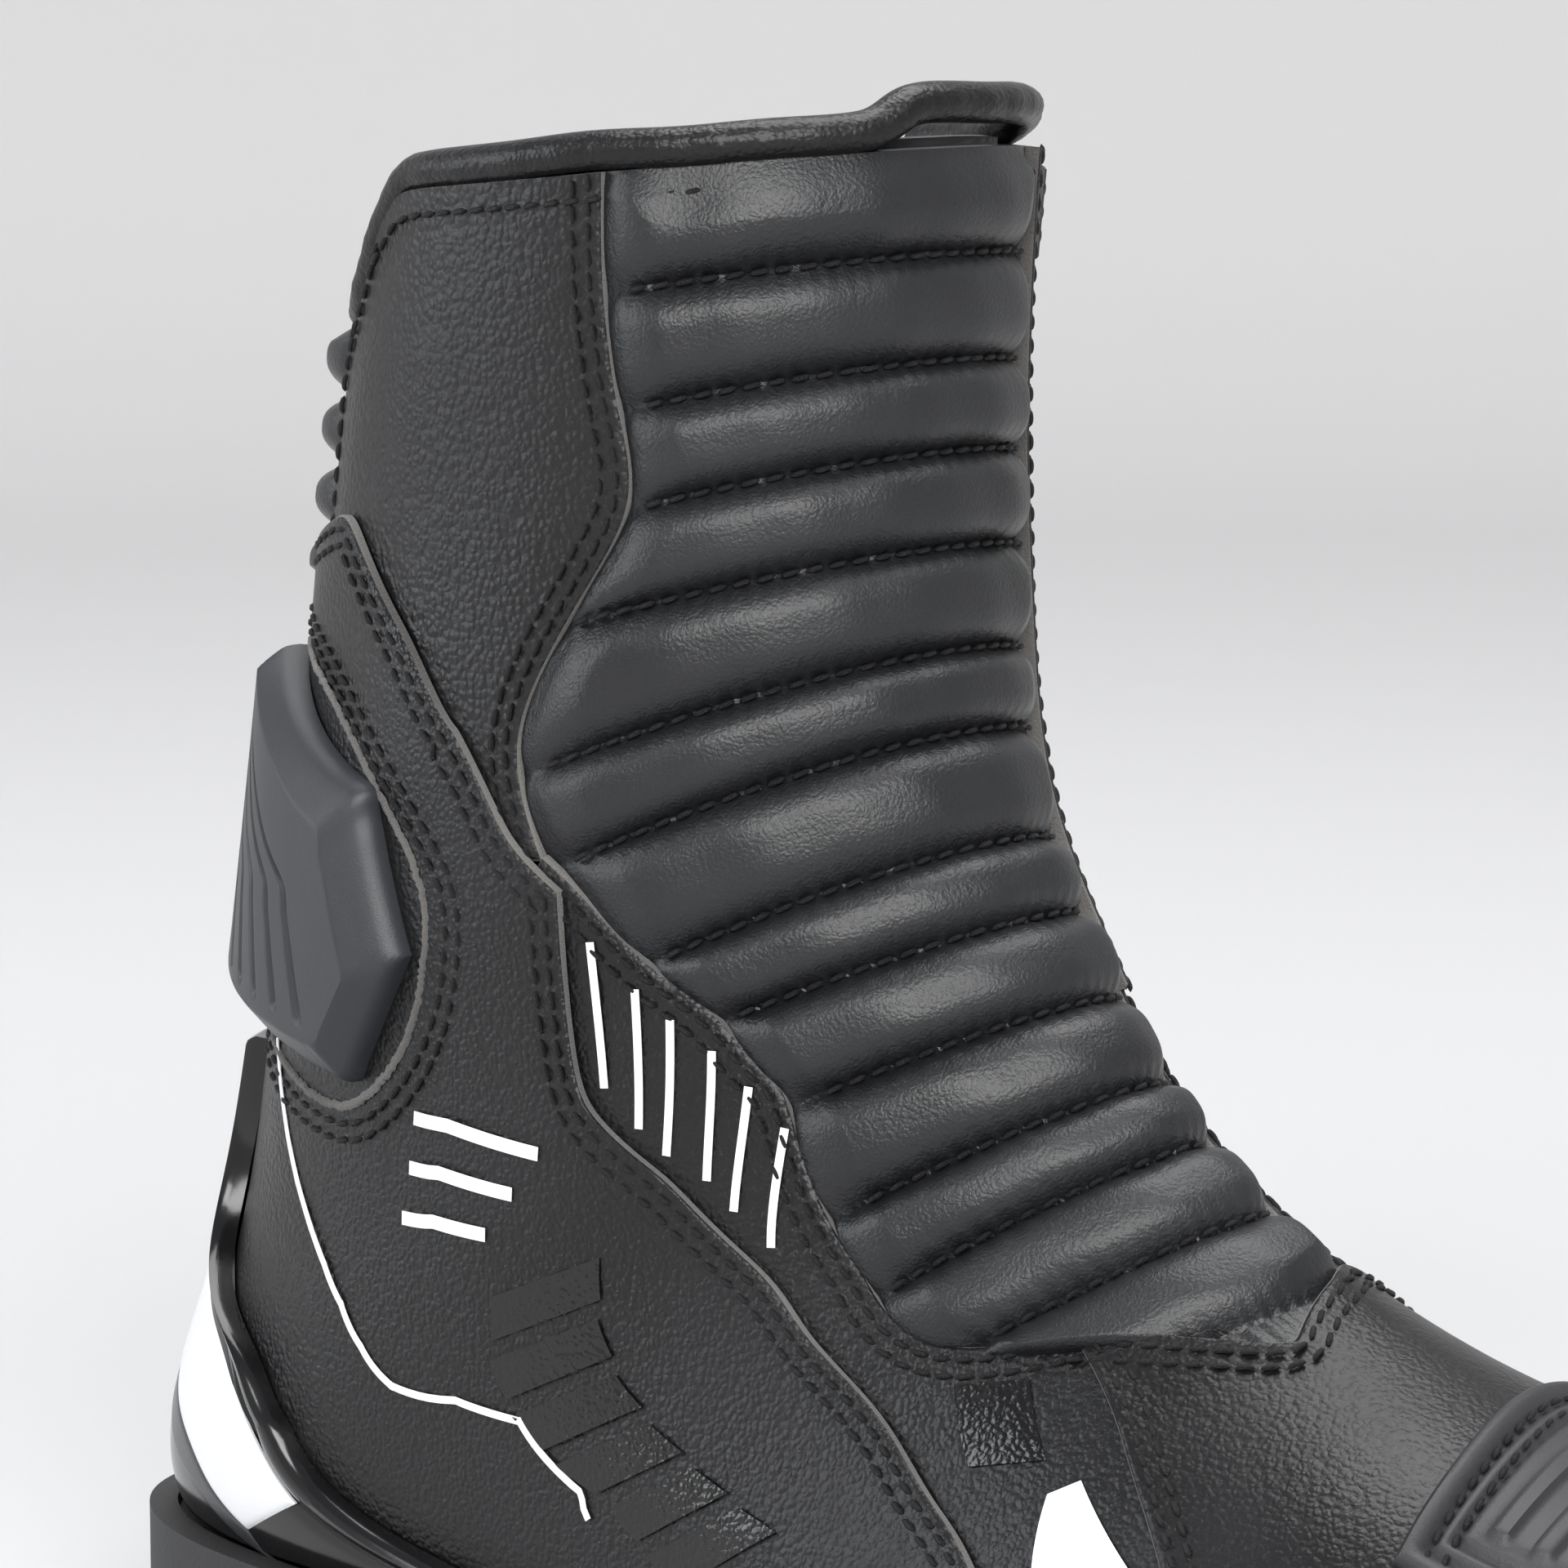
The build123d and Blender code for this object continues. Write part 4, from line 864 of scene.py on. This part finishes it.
# ---------- collar and lining ----------
def collar():
    angles = np.linspace(-83, -83 + 346, 260)
    wrapped = (angles + 180) % 360 - 180
    bump = 3.4 / (1 + np.exp((wrapped - 14) / 2.2)) * np.clip((wrapped + 60) / 25, 0, 1)
    wobble = 0.5 * np.sin(np.radians(angles) * 5 + 1) + 0.3 * np.sin(np.radians(angles) * 11)
    base = surface(rim(angles), angles, np.full(260, -2.0))
    base[:, 2] += bump + 0.4 * wobble + 0.6
    ahead = np.gradient(base, axis=0)
    ahead /= np.linalg.norm(ahead, axis=1, keepdims=True)
    points, faces = [], []
    sides = 20
    for k in range(260):
        up = np.array([0.0, 0.0, 1.0])
        side = np.cross(ahead[k], up)
        side /= np.linalg.norm(side)
        up = np.cross(side, ahead[k])
        crease = 1 + 0.03 * math.sin(k * 0.9) + 0.02 * math.sin(k * 2.3)
        for j in range(sides):
            turn = 2 * math.pi * j / sides
            points.append(base[k] + side * 3.3 * crease * math.cos(turn)
                          + up * 2.9 * math.sin(turn))
    for k in range(259):
        for j in range(sides):
            a, b = sides * k + j, sides * k + (j + 1) % sides
            faces.append((a, b, b + sides, a + sides))
    faces += [tuple(range(sides))[::-1], tuple(range(sides * 259, sides * 260))]
    roll = new_piece("collar_roll", points, faces, [SMOOTH], sharp=70)
    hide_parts("collar_binding")
    finish_piece(roll, "shaft")
    front = [(0.2, 64), (0.2, 20), (0.2, -27)]
    rear = [(float(rim(a)) + 0.2, a) for a in range(132, 230, 4)]
    stitching("collar_stitching", [(front, 0.4, 0.0), (rear, 0.4, 0.0)])


def linings():
    angles, down = np.meshgrid(np.linspace(-180, 180, 120), np.linspace(0, 1, 90))
    start = 0.04 + rim(angles)
    grid = np.stack([start + (5.6 - start) * down, angles], -1)
    rib = 0.25 * np.sin(grid[..., 0] * 9) * np.sin(np.radians(grid[..., 1]) * 9)
    shaft = shell("shaft_lining", grid, LINING_IN + rib, LINING_OUT + rib, [LINING])
    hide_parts("shaft_lining_lateral", "shaft_lining_front", "shaft_lining_rear",
                "ankle_lining_lateral", "ankle_lining_medial", "zip_gusset")
    finish_piece(shaft)


# ---------- collar flap ----------
def collar_flap():
    top, bottom, front, rear = FLAP_TOP, FLAP_BOTTOM, FLAP_FRONT, FLAP_REAR
    span, width = front - rear, 14.0     # degrees, and mm; only the edges' rounding mixes them

    def level(share):
        ease = np.clip(share / 0.35, 0, 1)
        return 1.05 + 2.7 * ease * ease * (3 - 2 * ease)

    def thread_height(params):
        return level((params[:, 1] - rear) / span) + 2.05

    u, v = shares(60, float(span)), shares(22, width)
    grid = patch([(top, rear), (top, front)], [(bottom, rear), (bottom, front)],
                 [(top, rear), (bottom, rear)], [(top, front), (bottom, front)], u, v)
    lift = level(u)[None, :] * np.ones((len(v), 1))
    drop = edge_drop(u, v, (span, width), (True, True, True, True))
    flap = shell("collar_flap_leather", grid, lift, lift + 2.0 * (1 - drop), [SMOOTH, SUEDE])
    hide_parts("closure_flap")
    finish_piece(flap, "collar_flap")
    border = [([(s, rear + 2), (s, -90), (s, front - 2)], thread_height, inset)
              for s, inset in ((top, 1.8), (bottom, -1.8))]
    border += [([(top + 0.07, a), (bottom - 0.07, a)], thread_height, inset)
               for a, inset in ((front - 1, 1.0), (rear + 1, -1.0))]
    stitching("collar_flap_stitching", border, body="collar_flap")


# ---------- prints ----------
def prints():
    over = OVER_OUT + PRINT_LIFT
    curve = resample([(3.95, 129), (4.5, 119), (5.0, 108.5), (5.45, 99.5), (5.95, 93.5)],
                     np.linspace(0, 1, 9))
    ribbon("line_print", list(curve) + [(6.42, 85.5), (7.05, 91)], 1.1, over, WHITE)
    skin = SKIN_OUT + PRINT_LIFT
    stripes = [((4.06, 69.5), (4.80, 69)), ((4.38, 64), (5.08, 65)), ((4.60, 60), (5.28, 62)),
               ((4.84, 55.5), (5.50, 58)), ((5.10, 52), (5.73, 56)), ((5.40, 49), (6.02, 54))]
    for k, (start, end) in enumerate(stripes):
        ribbon(f"hatch_print_{k + 1}", [start, end], 1.25, skin, WHITE)
    bars = [((4.62, 93), (5.02, 77)), ((4.86, 93), (5.18, 80)), ((5.10, 93), (5.34, 83))]
    for k, (start, end) in enumerate(bars):
        ribbon(f"bar_print_{k + 1}", [start, end], 2.0, over, WHITE)
    for k in range(6):
        s = 5.72 + 0.34 * k
        mid = 76.5 + 2.1 * k
        print_patch(f"gloss_print_{k + 1}", [(s, mid - 7), (s + 0.24, mid - 6), (s + 0.22, mid + 6),
                                             (s - 0.02, mid + 5)], over, GLOSS_PRINT)
    print_patch("forefoot_gloss_print", [(7.5, 46), (8.05, 54), (7.85, 60), (7.32, 52)], skin,
                GLOSS_PRINT)
    print_patch("wedge_print", [(8.27, 54), (8.9, 63), (8.7, 74), (8.24, 58)], skin, WHITE)


# ---------- carried-over parts ----------
def paint_frame():
    finishes = {
        "outsole": SOLE, "heel_cushion": FOAM, "shank": STEEL, "insole_board": BOARD,
        "footbed": BED_CLOTH, "toe_puff": BOARD, "heel_counter": BOARD,
        "foot_lining_lateral": LINING, "foot_lining_medial": LINING, "zip_tape_front": TAPE,
        "zip_tape_rear": TAPE, "zip_teeth_front": ZIP_METAL, "zip_teeth_rear": ZIP_METAL,
        "zip_top_stops": ZIP_METAL, "zip_bottom_stop": ZIP_METAL, "zip_slider": ZIP_METAL,
        "zip_pull": MOULDED, "closure_hook_tape": HOOK, "closure_loop_tape": HOOK}
    for name, material in finishes.items():
        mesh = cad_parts[name].data
        if not mesh.materials:
            mesh.materials.append(material)
        for k in range(len(mesh.materials)):
            mesh.materials[k] = material


# ---------- stage, light and camera ----------
def studio():
    """A round pale cyclorama, so that every view has the same ground, with painted shade darkening
    it towards the middle.
    """
    profile = [(0.0, 0.0), (1.2, 0.0), (1.8, 0.0)]
    for k in range(1, 13):
        turn = math.pi / 2 * k / 12
        profile.append((1.8 + 0.9 * math.sin(turn), 0.9 - 0.9 * math.cos(turn)))
    profile.append((2.7, 2.4))
    sides = 96
    points, faces = [], []
    for radius, height in profile:
        for j in range(sides):
            turn = 2 * math.pi * j / sides
            points.append((radius * math.cos(turn) * 1000, radius * math.sin(turn) * 1000,
                           height * 1000 - 0.05))
    for i in range(len(profile) - 1):
        for j in range(sides):
            a, b = i * sides + j, i * sides + (j + 1) % sides
            faces.append((a, b, b + sides, a + sides))
    paint, tree, shader = blank("studio_paint_painted_shade")
    link = tree.links.new
    place = add(tree, "TexCoord")
    reach = add(tree, "VectorMath", operation="LENGTH")
    share = add(tree, "Math", {1: 3.0}, operation="DIVIDE")
    # Painted shade: the ground's colour runs from mid grey near the middle to pale at the wall.
    tone = ramp(tree, (0.50, 0.50, 0.505), (0.90, 0.895, 0.89), 0.1, 0.75)
    link(place.outputs["Object"], reach.inputs[0])
    link(reach.outputs["Value"], share.inputs[0])
    link(share.outputs["Value"], tone.inputs["Fac"])
    link(tone.outputs["Color"], shader.inputs["Base Color"])
    shader.inputs["Roughness"].default_value = 0.9
    new_piece("studio_floor", points, faces, [paint], sharp=80)


def area_light(name, place, target, size, power, colour=(1, 1, 1)):
    light = bpy.data.lights.new(name, "AREA")
    light.shape = "RECTANGLE"
    light.size, light.size_y = size
    light.energy = power
    light.color = colour
    lamp = bpy.data.objects.new(name, light)
    lamp.location = place
    lamp.rotation_euler = look_rotation(np.array(target) - np.array(place))
    bpy.context.scene.collection.objects.link(lamp)


def look_rotation(direction):
    return Vector([float(c) for c in direction]).to_track_quat("-Z", "Y").to_euler()


def lights_and_camera():
    world = bpy.data.worlds.new("studio_world")
    bpy.context.scene.world = world
    world.use_nodes = True
    back = world.node_tree.nodes["Background"]
    back.inputs["Color"].default_value = (0.93, 0.95, 1.0, 1)
    back.inputs["Strength"].default_value = 0.36
    area_light("key", (1.1, -0.9, 1.0), (-0.05, 0, 0.13), (0.9, 0.9), 25)
    area_light("top", (-0.1, 0.3, 1.4), (-0.05, 0, 0.12), (1.2, 0.9), 19)
    area_light("side", (-1.1, -0.9, 0.6), (-0.05, 0, 0.12), (0.5, 1.0), 7, (0.93, 0.96, 1.0))
    area_light("front", (0.35, -1.1, 0.95), (-0.05, 0, 0.14), (0.45, 0.45), 7)
    camera = bpy.data.objects.new("camera", bpy.data.cameras.new("camera"))
    azimuth, elevation, distance = math.radians(42), math.radians(8), 0.9
    target = np.array([106, 0, 140]) * MM - CENTRE * MM
    away = np.array([math.sin(azimuth) * math.cos(elevation),
                     -math.cos(azimuth) * math.cos(elevation), math.sin(elevation)])
    camera.location = target + away * distance
    camera.rotation_euler = look_rotation(-away)
    camera.data.lens = 145
    camera.data.sensor_width = 36
    camera.data.clip_start = 0.01
    bpy.context.scene.collection.objects.link(camera)
    bpy.context.scene.camera = camera
    bpy.context.scene.view_settings.view_transform = "Standard"


studio()
lights_and_camera()
paint_frame()
front_flex()
rear_flex()
shaft_panels()
quarters()
forefoot()
vamp_and_toe()
shift_pad()
heel_cup()
ankle_protector()
collar()
linings()
collar_flap()
prints()
